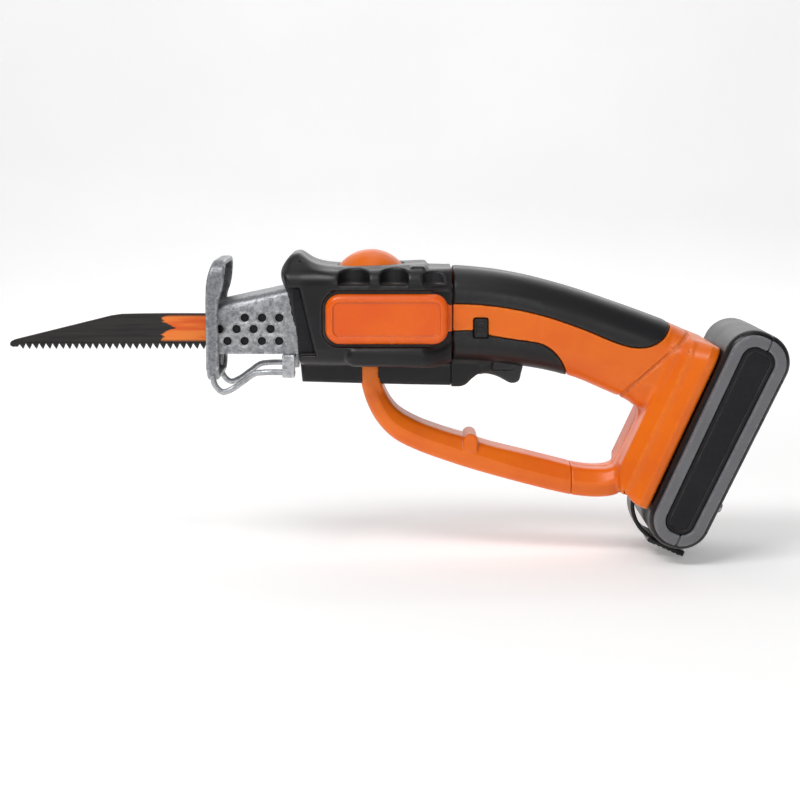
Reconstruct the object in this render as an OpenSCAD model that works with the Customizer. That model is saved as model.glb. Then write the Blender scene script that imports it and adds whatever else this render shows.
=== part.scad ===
// Cordless pruning saw: a reciprocating blade behind a fixed shoe, a gear case and motor inside a
// two-piece housing, a loop hand guard and a slide-on battery pack.
// Millimetres. +Z is up, the blade points along -X, the battery is at +X, Y = 0 parts the housing.
// The origin is where the stroke axis crosses the front face of the shoe.

/* [Output] */

/* [Blade] */
blade_reach = 97.7;   // [80:0.1:118]
blade_thick = 1.3;    // [1:0.1:1.6]
tooth_count = 28;     // [16:1:32]

/* [Shoe] */
shoe_wide = 50;       // [46:1:60]
shoe_sheet = 2.2;     // [1.8:0.1:2.6]
chan_wide = 40;       // [36:1:44]
wire_dia = 2.8;       // [2:0.1:3.2]

/* [Drive] */
crank_r = 10;         // [8:0.5:10]
gear_x = 84;
rod_r = 5;            // [4:0.1:5.5]
roller_r = 3.5;       // [2.8:0.1:3.6]
motor_r = 16;         // [13:0.5:16.4]
motor_z = 6.5;
run_gap = 0.08;       // [0.05:0.01:0.1]

/* [Body] */
body_wide = 61;       // [58:1:74]
grip_wide = 43;       // [41:1:50]
skin = 1.8;           // [1.4:0.1:2.2]
shell = 2.4;          // [2:0.1:2.6]
guard_wide = 27;      // [24:1:34]
nose_end = 117;
guard_seam = 175;

/* [Battery] */
tilt = 24;
pack_w = 228;
pack_thick = 32.5;    // [30:0.5:38]
pack_long = 111.5;    // [104:0.5:134]
pack_wide = 71;       // [68:1:86]
rail_gap = 0.3;       // [0.2:0.05:0.5]

/* [Hidden] */
$fn = 64;
eps = 0.02;

ORANGE = [0.93, 0.42, 0.08];
BLACK = [0.09, 0.09, 0.10];
RUBBER = [0.16, 0.16, 0.17];
GREY = [0.38, 0.38, 0.40];
ZINC = [0.72, 0.73, 0.75];
STEEL = [0.60, 0.61, 0.63];
ALLOY = [0.66, 0.67, 0.69];
BRASS = [0.80, 0.62, 0.30];
COPPER = [0.74, 0.42, 0.24];

wall = skin + shell;
blade_end = 44;
collar_x0 = 34;
collar_x1 = 46;
case_x0 = collar_x1 + crank_r + 1;
plate_wide = max(shoe_wide, chan_wide + 10);
bush_x1 = case_x0 + 7.5;
slot_half = roller_r + 0.23 * crank_r;
yoke_half = slot_half + 3.2;
yoke_y = crank_r + roller_r + 4;
case_in0 = gear_x - 19.3;
case_in1 = gear_x + 19.4;
case_x1 = case_in1 + 3.1;
case_y = 24;
case_top = 24;
split_z = 16.4;
pin_z0 = -6.6;
can_x0 = case_x1;
can_x1 = can_x0 + 35.5;
grip_path = [[112, 8.6], [140, 7.0], [164.5, 2.4], [190, -6.4], [219, -17.5]];
grip_high = [44.4, 43, 41.3, 41];
guard_path = [[77.4, -15.5], [78.6, -30], [84.5, -41], [94.5, -48.3], [114, -55], [142, -63.3],
  [169, -70.7], [190, -73.6], [212, -71]];
guard_high = [8.6, 9.6, 11.6, 12.8, 13.4, 13.6, 13.4, 13];
rec_w0 = 206;
floor_w = 213;
rec_u0 = 8.5;
rec_u1 = 94;
rec_y = 31;
pocket_y = 25.2;
neck_y = 19;
lip_w = 222.5;
head_u0 = 12;
head_u1 = 79.2;
block_u0 = 79.6;
pocket_u1 = 86;
pack_u0 = -2.5;
pack_mid = pack_w + pack_thick * 0.48;
ring_t = 2.5;
cell_r = 9.1;
cell_long = 65;
trig_pivot = [131.5, -15.5];
trig_y = 8.3;
dome = [78, 17.7, 31];
dome_r = 15;

// ---------- shared forms ----------
module xz(pts, y0, y1) translate([0, y1, 0]) rotate([90, 0, 0]) linear_extrude(y1 - y0) polygon(pts);

module box(a, b) translate(a) cube([b[0] - a[0], b[1] - a[1], b[2] - a[2]]);

module disc_y(x, z, r, y0, y1) translate([x, y1, z]) rotate([90, 0, 0]) cylinder(r = r, h = y1 - y0);

module disc_x(x0, x1, z, r, y = 0) translate([x0, y, z]) rotate([0, 90, 0]) cylinder(r = r, h = x1 - x0);

module round_rect(w, h, r, n = 64) {
  square([w - 2 * r, h], center = true);
  square([w, h - 2 * r], center = true);
  for (sx = [-1, 1], sy = [-1, 1]) translate([sx * (w / 2 - r), sy * (h / 2 - r)]) circle(r, $fn = n);
}

module bar(p, q, h, w, r, e = 2) {
  d = q - p;
  translate([p[0], 0, p[1]]) rotate([0, -atan2(d[1], d[0]), 0]) translate([-e, 0, 0])
    rotate([90, 0, 90]) linear_extrude(norm(d) + 2 * e) round_rect(w, h, r, 12);
}

module rod(p, q, r) {
  d = q - p;
  translate([p[0], p[1], p[2]]) rotate([0, acos(d[2] / norm(d)), atan2(d[1], d[0])])
    cylinder(r = r, h = norm(d));
}

module tilted() rotate([0, tilt, 0]) children();

module side(s) {
  intersection() {
    children();
    translate([-20, s > 0 ? 0 : -100, -150]) cube([330, 100, 250]);
  }
}

module grip_form(d) for (i = [0 : 3])
  bar(grip_path[i], grip_path[i + 1], grip_high[i] - 2 * d, grip_wide - 2 * d, 14 - d);

module guard_form() for (i = [0 : 7])
  bar(guard_path[i], guard_path[i + 1], guard_high[i], guard_wide, 4, 1.6);

module receiver_form() tilted() intersection() {
  translate([rec_w0, 0, (rec_u0 + rec_u1) / 2]) rotate([90, 0, 90])
    linear_extrude(pack_w - 0.5 - rec_w0) round_rect(2 * rec_y, rec_u1 - rec_u0, 9, 12);
  xz([[rec_w0 + 6, rec_u0], [pack_w, rec_u0], [pack_w, rec_u1], [rec_w0 + 3, rec_u1],
    [rec_w0, rec_u1 - 6], [rec_w0, rec_u0 + 12]], -40, 40);
}

module nose_form(d) intersection() {
  union() {
    bar([30, 8], [nose_end, 8], 46.4 - 2 * d, body_wide - 2 * d, 12 - d, 0);
    bar([30, -16.5], [nose_end, -16.5], 16.4 - 2 * d, 23 - 2 * d, 4 - d / 2, 0);
    bar([30, 19], [53, 19], 40 - 2 * d, 44 - 2 * d, 8 - d, 0);
  }
  xz([[36, 28], [37.8, 36], [42.5, 39], [46, 38], [53, 31.2 - d], [nose_end, 31.2 - d],
    [nose_end, -30], [45.5, -30], [44.6, -11.6], [43, 2], [40, 18]], -60, 60);
}

module trigger_slot() box([126.8, -trig_y - 0.5, -27], [152.6, trig_y + 0.5, -8]);

module lock_opening() {
  box([126.8, -grip_wide, -1.8], [134, -grip_wide / 2 + 3, 7.8]);
  box([125.4, -grip_wide / 2 + 2.5, -3.8], [135.4, -grip_wide / 2 + 6, 9.6]);
}

module pocket() tilted() {
  box([floor_w, -pocket_y, head_u0 - 8], [lip_w, pocket_y, pocket_u1]);
  box([lip_w - eps, -neck_y - rail_gap, head_u0 - 8], [pack_w + 2, neck_y + rail_gap, pocket_u1]);
  box([209, -14, block_u0 - 1], [floor_w + eps, 14, pocket_u1]);
}

// Joining points of the two shells: x, z, outer half width and head depth below it.
screw_spots = [[62, -17.5, 11.5, 2], [108, -17.5, 11.5, 2], [44.5, 32.5, 22, 3],
  [182, -4, grip_wide / 2 - 0.3, 5], [202, -11, grip_wide / 2 - 0.3, 5],
  [190, -73.6, guard_wide / 2, 4]];

module screw_holes(i0, i1) for (i = [i0 : i1]) {
  s = screw_spots[i];
  disc_y(s[0], s[1], 1.5, -s[2] + 3, s[2] + 1);
  disc_y(s[0], s[1], 3.1, s[2] - s[3], s[2] + 12);
}

module posts(i0, i1) for (i = [i0 : i1]) {
  s = screw_spots[i];
  disc_y(s[0], s[1], 4.3, -s[2] + 0.6, s[2] - 0.6);
}

// ---------- housing ----------
module top_skin(d) intersection() {
  difference() { grip_form(d); grip_form(skin); }
  xz([[nose_end, 14.4], [139, 13.1], [163.5, 7.8], [180, 2], [196.5, -4.6], [206.4, -6.8],
    [214.5, -4.6], [228, 6], [228, 50], [nose_end, 50]], -40, 40);
}

module lower_skin(d) intersection() {
  difference() { grip_form(d); grip_form(skin); }
  xz([[nose_end, 1.4], [126, 1.4], [135, -1.2], [147, -2.8], [158.7, -4.4], [163.6, -6.9],
    [168.6, -12.7], [173, -22], [150, -40], [nose_end, -40]], -40, 40);
}

module housing_solid() difference() {
  union() {
    intersection() {
      union() {
        difference() {
          grip_form(0);
          intersection() {
            grip_form(wall);
            tilted() box([0, -50, -200], [209, 50, 300]);
          }
          top_skin(-1);
          lower_skin(-1);
        }
        intersection() { posts(3, 4); grip_form(1); }
      }
      box([nose_end, -60, -60], [300, 60, 60]);
      tilted() box([0, -60, -200], [pack_w - 0.5, 60, 300]);
    }
    difference() {
      union() {
        receiver_form();
        intersection() {
          guard_form();
          box([guard_seam, -40, -100], [215, 40, -40]);
        }
      }
      intersection() { grip_form(wall); tilted() box([0, -50, -200], [209, 50, 300]); }
    }
    for (s = [-1, 1]) intersection() {
      grip_form(2.5);
      scale([1, s, 1]) union() {
        box([161, 8.5, -3], [164, 20, 12]);
        box([144.6, motor_r - 2.2, -6], [147, 20, 14]);
      }
    }
    tilted() box([floor_w - eps, -8.6, rec_u0 + 0.5], [floor_w + 2.2, 8.6, head_u0 - 1]);
  }
  difference() {
    pocket();
    tilted() box([floor_w - 1, -8.6, rec_u0], [floor_w + 2.2, 8.6, head_u0 - 1]);
  }
  trigger_slot();
  lock_opening();
  screw_holes(3, 5);
  disc_x(nose_end - 1, can_x1 + 5.2, motor_z, motor_r);
}

module left_housing() color(ORANGE) side(-1) housing_solid();
module right_housing() color(ORANGE) side(1) housing_solid();

module nose_solid() difference() {
  union() {
    difference() { nose_form(0); translate([-0.1, 0, 0]) nose_form(shell); }
    intersection() {
      nose_form(1);
      union() {
        posts(0, 2);
        for (s = [-1, 1], x = [63, 98]) {
          y0 = s > 0 ? case_y : -body_wide / 2;
          box([x, y0, -6], [x + 2.4, y0 + body_wide / 2 - case_y, 18]);
        }
        box([nose_end - 2.4, -body_wide / 2, -22], [nose_end, body_wide / 2, 31]);
      }
    }
  }
  disc_x(nose_end - 3, nose_end + 1, motor_z, motor_r);
  translate([dome[0], 0, 20]) cylinder(r = dome_r - 0.1, h = 20);
  box([30, -chan_wide / 2 - 0.2, -12], [60, chan_wide / 2 + 0.2, 25]);
  screw_holes(0, 2);
}

module left_nose_cover() color(BLACK) side(-1) nose_solid();
module right_nose_cover() color(BLACK) side(1) nose_solid();

module side_panel() translate([85.7, 0, 7.9]) rotate([90, 0, 0])
  translate([0, 0, body_wide / 2]) linear_extrude(2) round_rect(57.8, 23.6, 4);

module left_side_panel() color(ORANGE) side_panel();
module right_side_panel() color(ORANGE) mirror([0, 1, 0]) side_panel();

module top_grip() difference() {
  top_skin(0);
  box([0, -60, -60], [nose_end, 60, 60]);
  receiver_form();
  box([224, -60, -60], [300, 60, 60]);
}

module left_top_grip() color(RUBBER) side(-1) top_grip();
module right_top_grip() color(RUBBER) side(1) top_grip();

module lower_grip() difference() {
  union() {
    lower_skin(0);
    difference() {
      xz([[nose_end, -24.6], [122.5, -24.6], [126.4, -21.9], [136.5, -19.4], [136.5, -12],
        [nose_end, -12]], -11.5, 11.5);
      grip_form(skin);
    }
  }
  box([0, -60, -60], [nose_end, 60, 60]);
  trigger_slot();
  disc_y(trig_pivot[0], trig_pivot[1], 1.5, -10.5, 10.5);
  box([126.8, -grip_wide, -1.8], [134, 0, 7.8]);
}

module left_lower_grip() color(BLACK) side(-1) lower_grip();
module right_lower_grip() color(BLACK) side(1) lower_grip();

module hand_guard() color(ORANGE) difference() {
  union() {
    intersection() {
      guard_form();
      box([60, -40, -100], [guard_seam, 40, -10]);
    }
    disc_y(126, -57.5, 3.4, -guard_wide / 2 - 0.8, guard_wide / 2 + 0.8);
  }
  nose_form(0);
}

module housing_screws() color(STEEL) for (s = screw_spots) {
  disc_y(s[0], s[1], 1.5, -s[2] + 3, s[2] - s[3]);
  difference() {
    disc_y(s[0], s[1], 2.9, s[2] - s[3], s[2] - s[3] + 1.9);
    disc_y(s[0], s[1], 1.2, s[2] - s[3] + 0.9, s[2] - s[3] + 3);
  }
}

// ---------- shoe ----------
module shoe_plate() color(ZINC) difference() {
  intersection() {
    xz([[0.7, -22.5], [0, -18], [0, 16], [1.2, 22], [4.4, 30], [8, 37.6], [8 + shoe_sheet, 36.8],
      [4.4 + shoe_sheet, 29.2], [1.2 + shoe_sheet, 21.2], [shoe_sheet, 15.6],
      [shoe_sheet, -18], [0.7 + shoe_sheet, -22.5]], -plate_wide / 2, plate_wide / 2);
    translate([-1, 0, 7.5]) rotate([90, 0, 90]) linear_extrude(20) round_rect(plate_wide, 60.2, 7);
  }
  box([-1, -2.5, -12], [shoe_sheet + 1, 2.5, 11]);
}

module shoe_channel() color(ZINC) difference() {
  h = chan_wide / 2;
  t = 1.5;
  intersection() {
    xz([[shoe_sheet, -9.6], [shoe_sheet, 14], [44, 23], [44, 6], [case_x0, 6],
      [case_x0, -9.6]], -h, h);
    bar([-4, -6.6], [60, 7.2], 39, chan_wide, 5);
  }
  intersection() {
    xz([[0, -8.1], [0, 12], [50, 22.8], [60, 22.8], [60, -8.1]], -h + t, h - t);
    bar([-4, -6.6], [60, 7.2], 39 - 2 * t, chan_wide - 2 * t, 5 - t);
  }
  box([0, -h + 6, -12], [60, h - 6, -6]);
  for (x = [18.2, 26.4, 34.6]) disc_y(x, 7.7, 2, -h - 1, h + 1);
  for (x = [6.1, 14.2, 22.3, 30.4]) disc_y(x, 2.3, 2, -h - 1, h + 1);
  for (x = [9.8, 18, 26.2, 34.4]) disc_y(x, -3.4, 2, -h - 1, h + 1);
}

wire_pts = [[shoe_sheet + wire_dia / 2, -13], [shoe_sheet + wire_dia / 2 + 0.9, -24], [6.4, -27.4],
  [10.4, -27], [23.6, -18.2], [41, -18.2]];
wire_y = chan_wide / 2 + wire_dia / 2 + 0.2;

module branch_wires() color(STEEL) for (s = [-1, 1], i = [0 : 4]) {
  e = i == 4 ? 0 : 0.8;
  p = wire_pts[i];
  q = wire_pts[i + 1];
  d = (q - p) * (e / norm(q - p));
  a = i == 0 ? p : p - d;
  b = q + d;
  rod([a[0], s * wire_y, a[1]], [b[0], s * wire_y, b[1]], wire_dia / 2, $fn = 12);
}

module wire_bracket() color(STEEL) difference() {
  union() {
    box([36, -wire_y - 2.6, -12], [42, wire_y + 2.6, -9.6]);
    for (s = [-1, 1]) translate([36, s * wire_y - 2.6, -20.6]) cube([6, 5.2, 8.7]);
  }
  for (s = [-1, 1]) disc_x(30, 41, -18.2, wire_dia / 2, s * wire_y);
}

// ---------- blade and plunger ----------
module blade() color(BLACK) {
  p = (blade_reach - 6.5) / tooth_count;
  teeth = [for (i = [0 : tooth_count - 1]) each
    [[-2 - i * p, -6.4], [-2 - i * p - p * 0.35, -9], [-2 - (i + 0.98) * p, -6.4]]];
  difference() {
    xz(concat([[blade_end, -4.6], [6, -4.6], [2, -6.4]], teeth,
      [[-blade_reach + 3.4, -8.4], [-blade_reach, -7.2], [-blade_reach + 1.6, -4.8],
      [-blade_reach * 0.49, 7.8],
      [-2.6, 8.3], [2, 6.6], [6, 5.6], [blade_end, 5.6]]), -blade_thick / 2, blade_thick / 2);
    disc_y(40, 0.5, 1.8, -2, 2);
  }
}

module blade_collar() color(STEEL) difference() {
  union() {
    disc_x(collar_x0, collar_x1, 0, 7.5);
    disc_x(collar_x0 + 2, collar_x0 + 4, 0, 8);
  }
  disc_x(blade_end + 0.2, collar_x1 + 1, 0, rod_r);
  box([collar_x0 - 1, -blade_thick / 2, -4.6], [blade_end + 0.3, blade_thick / 2, 5.6]);
  disc_y(40, 0.5, 1.8, -5.5, 5.5);
}

module clamp_pin() color(BRASS) disc_y(40, 0.5, 1.8, -5.5, 5.5);

module plunger_rod() color(STEEL) union() {
  disc_x(blade_end + 0.2, gear_x - slot_half - 1, 0, rod_r);
  difference() {
    union() {
      box([gear_x - yoke_half, -yoke_y, -7], [gear_x + yoke_half, yoke_y, 0]);
      box([gear_x - yoke_half, -yoke_y - 1.9, -4.5], [gear_x + yoke_half, yoke_y + 1.9, -2.5]);
    }
    box([gear_x - slot_half, -yoke_y + 3, -9], [gear_x + slot_half, yoke_y - 3, 6]);
  }
}

module front_bushing() color(BRASS) difference() {
  disc_x(case_x0, bush_x1, 0, rod_r + 3);
  disc_x(case_x0 - 1, bush_x1 + 1, 0, rod_r + run_gap);
}

module gear_case() color(ALLOY) difference() {
  box([case_x0, -case_y, -10.4], [case_x1, case_y, split_z]);
  box([case_in0, -case_y + 2.5, -8.4], [case_in1, case_y - 2.5, split_z + 1]);
  disc_x(case_x0 - 1, case_in0 + 1, 0, rod_r + 3);
  disc_x(case_in1 - 1, case_x1 + 1, motor_z, 6.2);
  gear_screw_holes();
}

gear_screw_pts = [[case_x0 + 3.5, 20], [case_x0 + 3.5, -20]];
module gear_screw_holes() for (p = gear_screw_pts)
  translate([p[0], p[1], 4]) cylinder(r = 1.5, h = 30);

module gear_cover() color(ALLOY) difference() {
  union() {
    box([case_x0, -case_y, split_z], [case_x1, case_y, split_z + 3]);
    translate([gear_x, 0, split_z]) cylinder(r = 12, h = case_top - split_z);
    for (s = [-1, 1]) box([case_x0 + 6, s * 16 - 1.5, split_z + 2.9], [case_x1 - 4, s * 16 + 1.5, 22]);
  }
  translate([gear_x, 0, split_z - 1]) cylinder(r = 8, h = case_top - split_z - 1);
  gear_screw_holes();
}

module gear_screws() color(STEEL) for (p = gear_screw_pts) {
  translate([p[0], p[1], 4]) cylinder(r = 1.5, h = split_z - 1);
  difference() {
    translate([p[0], p[1], split_z + 3]) cylinder(r = 2.8, h = 2.2);
    translate([p[0], p[1], split_z + 4]) cylinder(r = 1.3, h = 2);
  }
}

module guide_rails() color(BRASS) for (s = [-1, 1]) difference() {
  y0 = s > 0 ? yoke_y + 0.1 : -case_y + 2.5;
  box([case_in0, y0, -8.4], [case_in1, y0 + case_y - 2.6 - yoke_y, 0.6]);
  box([case_in0 - 1, -yoke_y - 2, -4.5 - run_gap], [case_in1 + 1, yoke_y + 2, -2.5 + run_gap]);
}

module crank_gear() color(STEEL) translate([gear_x, 0, 0]) {
  translate([0, 0, 13.6]) cylinder(r = 18.6, h = 2.4);
  translate([0, 0, 15.9]) cylinder(r = 4, h = 6);
  translate([0, 0, 11.9]) cylinder(r = 6, h = 2);
  for (i = [0 : 35]) rotate([0, 0, i * 10]) box([14, -0.75, 11.9], [18.4, 0.75, 13.7]);
  translate([0, -crank_r, pin_z0 - 0.3]) cylinder(r = 2.1, h = 13.6 - pin_z0 + 0.4);
}

module crank_roller() color(BRASS) translate([gear_x, -crank_r, pin_z0]) difference() {
  cylinder(r = roller_r, h = 6.2);
  translate([0, 0, -1]) cylinder(r = 2.1, h = 9);
}

module gear_bearing() color(STEEL) translate([gear_x, 0, 17]) difference() {
  cylinder(r = 8, h = 5);
  translate([0, 0, -1]) cylinder(r = 4 + run_gap, h = 7);
}

// ---------- motor ----------
module pinion() color(STEEL) difference() {
  union() {
    disc_x(gear_x + 13, gear_x + 19, motor_z, 3.6);
    for (i = [0 : 9]) translate([0, 0, motor_z]) rotate([i * 36, 0, 0])
      box([gear_x + 13, -0.7, 3], [gear_x + 19, 0.7, 4.9]);
  }
  disc_x(0, 200, motor_z, 1.6);
}

module rotor_shaft() color(STEEL) disc_x(gear_x + 13, can_x1 + 5, motor_z, 1.6);

module rotor_core() color(STEEL) difference() {
  disc_x(can_x0 + 8, can_x1 - 8, motor_z, motor_r * 0.7);
  for (i = [0 : 7]) translate([0, 0, motor_z]) rotate([i * 45, 0, 0])
    box([can_x0, -1, motor_r * 0.42], [can_x1, 1, motor_r]);
  disc_x(0, 200, motor_z, 1.6);
}

module commutator() color(COPPER) difference() {
  disc_x(can_x1 - 7, can_x1 - 1, motor_z, 5);
  disc_x(0, 200, motor_z, 1.6);
}

module cooling_fan() color(BLACK) difference() {
  union() {
    disc_x(can_x0 + 3, can_x0 + 4.2, motor_z, motor_r * 0.8);
    for (i = [0 : 11]) translate([0, 0, motor_z]) rotate([i * 30, 0, 0])
      box([can_x0 + 4, -0.5, 3], [can_x0 + 7, 0.5, motor_r * 0.78]);
    disc_x(can_x0 + 3, can_x0 + 7, motor_z, 3.4);
  }
  disc_x(0, 200, motor_z, 1.6);
}

module motor_can() color(ZINC) difference() {
  disc_x(can_x0, can_x1, motor_z, motor_r);
  disc_x(can_x0 + 1.2, can_x1 + 1, motor_z, motor_r - 1.2);
  disc_x(can_x0 - 1, can_x0 + 2, motor_z, 1.6 + run_gap);
}

module motor_magnets() color(GREY) for (s = [-1, 1]) difference() {
  intersection() {
    disc_x(can_x0 + 8, can_x1 - 8, motor_z, motor_r - 1.24);
    translate([0, 0, motor_z + s * motor_r]) box([can_x0, -motor_r, -motor_r * 0.75],
      [can_x1, motor_r, motor_r * 0.75]);
  }
  disc_x(can_x0 - 1, can_x1 + 1, motor_z, motor_r * 0.7 + 0.6);
}

module motor_endbell() color(BLACK) difference() {
  union() {
    disc_x(can_x1, can_x1 + 4, motor_z, motor_r);
    for (s = [-1, 1]) box([can_x1 + 3.9, s * 8 - 1, motor_z - 2], [can_x1 + 7, s * 8 + 1, motor_z + 2]);
  }
  disc_x(can_x1 - 1, can_x1 + 2, motor_z, 7);
  disc_x(can_x1 - 1, can_x1 + 5, motor_z, 1.6 + run_gap);
}

// ---------- controls ----------
module trigger() color(GREY) difference() {
  xz([[127.6, -20.2], [128.4, -15.5], [130, -13], [147.6, -13], [147.8, -9.2], [160, -9.2],
    [160, -11.2], [151.8, -11.2], [151.6, -17], [149.4, -24.2], [145.3, -25], [139, -22.6],
    [133.7, -20.4]], -trig_y, trig_y);
  disc_y(trig_pivot[0], trig_pivot[1], 1.5 + run_gap, -trig_y - 1, trig_y + 1);
  box([152, -trig_y - 1, -14], [161, -4, -8]);
  box([152, 4, -14], [161, trig_y + 1, -8]);
}

module trigger_pin() color(STEEL) disc_y(trig_pivot[0], trig_pivot[1], 1.5, -10.5, 10.5);

module trigger_switch() color(BLACK) difference() {
  box([152, -8.5, -4.6], [172, 8.5, 13]);
  box([154.8, -2.7, -5], [159.2, 2.7, 2.2]);
}

module switch_plunger() color(RUBBER) box([155, -2.5, -8.9], [159, 2.5, -2]);

module lock_button() color(BLACK) {
  y = -grip_wide / 2;
  box([127.1, y - 1.4, -1.5], [133.7, y + 2.7, 7.5]);
  box([125.8, y + 2.6, -3], [135, y + 3.4, 9.2]);
}

module release_button() color(ORANGE) translate([dome[0], 0, 0]) difference() {
  union() {
    intersection() {
      translate([0, 0, dome[2] + 8.3 - dome[1]]) sphere(dome[1]);
      translate([0, 0, 27]) cylinder(r = dome_r - 0.4, h = 20);
    }
    translate([0, 0, 27]) cylinder(r = dome_r - 0.4, h = 5);
    translate([0, 0, 26.8]) cylinder(r = dome_r + 1.4, h = 1.4);
  }
  intersection() {
    translate([0, 0, dome[2] + 6.1 - dome[1]]) sphere(dome[1]);
    translate([0, 0, 20]) cylinder(r = dome_r - 2.6, h = 30);
  }
  translate([0, 0, 20]) cylinder(r = dome_r - 2.6, h = 12);
}

module release_arm() color(STEEL) {
  difference() {
    box([50, -4, 26.8], [dome[0] - 10, 4, 28.2]);
    translate([dome[0], 0, 20]) cylinder(r = dome_r + 1.4, h = 12);
  }
  box([50, -4, 10.5], [53.5, 4, 26.9]);
}

module release_spring() color(STEEL) for (i = [0 : 2])
  translate([dome[0], 0, case_top + 0.5 + i * 0.98]) rotate_extrude() translate([8, 0]) circle(0.5);

// ---------- battery joint ----------
module terminal_block() color(BLACK) tilted()
  box([209, -13.8, block_u0], [220.5, 13.8, pocket_u1]);

module terminal_blades() color(BRASS) tilted() for (y = [-8, 0, 8])
  box([214.6, y - 0.4, block_u0 - 13], [218.8, y + 0.4, block_u0]);

module pack_outline(d) tilted() translate([0, -pack_wide / 2 + d, 0]) rotate([-90, 0, 0])
  linear_extrude(pack_wide - 2 * d)
    translate([pack_w + pack_thick / 2, -(pack_u0 + pack_long / 2)])
      round_rect(pack_thick - 2 * d, pack_long - 2 * d, 14.5 - d);

module pack_half(w0, w1) intersection() {
  difference() { pack_outline(0); pack_outline(2.2); }
  tilted() box([w0, -60, -30], [w1, 60, 200]);
}

module pack_screw_sites() tilted() for (y = [-1, 1], u = [24, 84])
  translate([pack_w + pack_thick - 1.2, y * (pack_wide / 2 - 8), u]) rotate([0, 90, 0]) children();

module pack_cover() color(BLACK) union() {
  difference() {
    pack_half(pack_w - 1, pack_mid);
    tilted() box([pack_w - 3, -14, 30], [pack_w + 3, 14, 60]);
  }
  tilted() difference() {
    union() {
      box([floor_w + rail_gap, -pocket_y + rail_gap, head_u0],
        [lip_w - rail_gap, pocket_y - rail_gap, head_u1]);
      box([lip_w - rail_gap - eps, -neck_y, head_u0], [pack_w + 0.1, neck_y, head_u1]);
    }
    box([floor_w - 1, -9, head_u0 - 1], [lip_w + 2, 9, head_u0 + 8]);
    box([floor_w - 1, -9, head_u0], [floor_w + 2.5, 9, head_u1 + 1]);
    for (y = [-8, 0, 8]) box([floor_w - 1, y - 1.2, block_u0 - 14], [220, y + 1.2, head_u1 + 1]);
    box([220 - eps, -14, 30], [pack_w + 1, 14, 60]);
  }
}

module pack_base() color(BLACK) difference() {
  pack_half(pack_mid, pack_w + pack_thick + 1);
  pack_screw_sites() cylinder(r = 2.4, h = 4);
}

module pack_loop(inset_d, y0, y1) tilted() translate([0, y0, 0]) rotate([-90, 0, 0])
  linear_extrude(y1 - y0) translate([pack_w + pack_thick / 2 - 0.6, -(pack_u0 + pack_long / 2)])
    round_rect(pack_thick - 2 - 2 * inset_d, pack_long - 3 - 2 * inset_d, 14.2 - inset_d);

module pack_rings() color(GREY) for (s = [-1, 1]) scale([1, s, 1]) difference() {
  pack_loop(0, pack_wide / 2, pack_wide / 2 + ring_t);
  pack_loop(7.2, pack_wide / 2 - 1, pack_wide / 2 + ring_t + 1);
}

module pack_panels() color(BLACK) for (s = [-1, 1]) scale([1, s, 1])
  pack_loop(7.2, pack_wide / 2, pack_wide / 2 + ring_t * 0.6);

function cell_u(i) = pack_u0 + pack_long / 2 + (i - 2) * (2 * cell_r + 0.7);

module cells() color(ALLOY) tilted() for (i = [0 : 4])
  translate([pack_mid + 0.6, cell_long / 2, cell_u(i)]) rotate([90, 0, 0])
    cylinder(r = cell_r, h = cell_long);

module cell_holders() color(RUBBER) difference() {
  intersection() {
    pack_outline(2.2);
    tilted() for (s = [-1, 1]) translate([pack_w, s * 24 - 2, -20]) cube([pack_thick, 4, 200]);
  }
  tilted() for (i = [0 : 4]) translate([pack_mid + 0.6, 40, cell_u(i)]) rotate([90, 0, 0])
    cylinder(r = cell_r, h = 80);
  tilted() box([pack_w, -40, 20], [pack_w + 5, 40, 94]);
}

module pack_board() color([0.1, 0.35, 0.2]) tilted() box([pack_w + 2.6, -28, 20], [pack_w + 4.2, 28, 94]);

module pack_contacts() color(BRASS) tilted() for (y = [-8, 0, 8], s = [-1, 1])
  box([floor_w + 2.5, y + s * 0.9 - 0.3, block_u0 - 13.4], [220, y + s * 0.9 + 0.3, head_u1 - 1]);

module pack_screws() color(STEEL) pack_screw_sites() difference() {
  cylinder(r = 2.4, h = 1.8);
  translate([0, 0, 1]) cylinder(r = 1, h = 2);
}

module pack_latch() color(BLACK) tilted() {
  box([floor_w + 0.4, -8, head_u0 - 0.7], [217.2, 8, head_u0 + 2.2]);
  box([217, -8, pack_u0 - 4], [220, 8, head_u0 + 2.2]);
  box([217, -8, pack_u0 - 4], [232, 8, pack_u0 - 0.3]);
  box([231.9, -14, pack_u0 - 4.6], [252, 14, pack_u0 - 0.3]);
}

// ---------- output ----------
left_housing();
right_housing();
left_nose_cover();
right_nose_cover();
left_side_panel();
right_side_panel();
left_top_grip();
right_top_grip();
left_lower_grip();
right_lower_grip();
hand_guard();
housing_screws();
shoe_plate();
shoe_channel();
branch_wires();
wire_bracket();
blade();
blade_collar();
clamp_pin();
plunger_rod();
front_bushing();
gear_case();
gear_cover();
gear_screws();
guide_rails();
crank_gear();
crank_roller();
gear_bearing();
pinion();
rotor_shaft();
rotor_core();
commutator();
cooling_fan();
motor_can();
motor_magnets();
motor_endbell();
trigger();
trigger_pin();
trigger_switch();
switch_plunger();
lock_button();
release_button();
release_arm();
release_spring();
terminal_block();
terminal_blades();
pack_cover();
pack_base();
pack_rings();
pack_panels();
cells();
cell_holders();
pack_board();
pack_contacts();
pack_screws();
pack_latch();
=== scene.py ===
"""Cordless pruning saw: the visible skin, controls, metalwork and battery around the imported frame.

Lengths inside the classes are millimetres in the frame's axes: +Z up, the blade along -X, the
battery at +X, Y = 0 the parting plane. Meshes are written in metres.
"""

from __future__ import annotations

import sys
import logging
import math
from dataclasses import dataclass, field
from enum import Enum
from functools import reduce
from typing import Callable, Sequence

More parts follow.
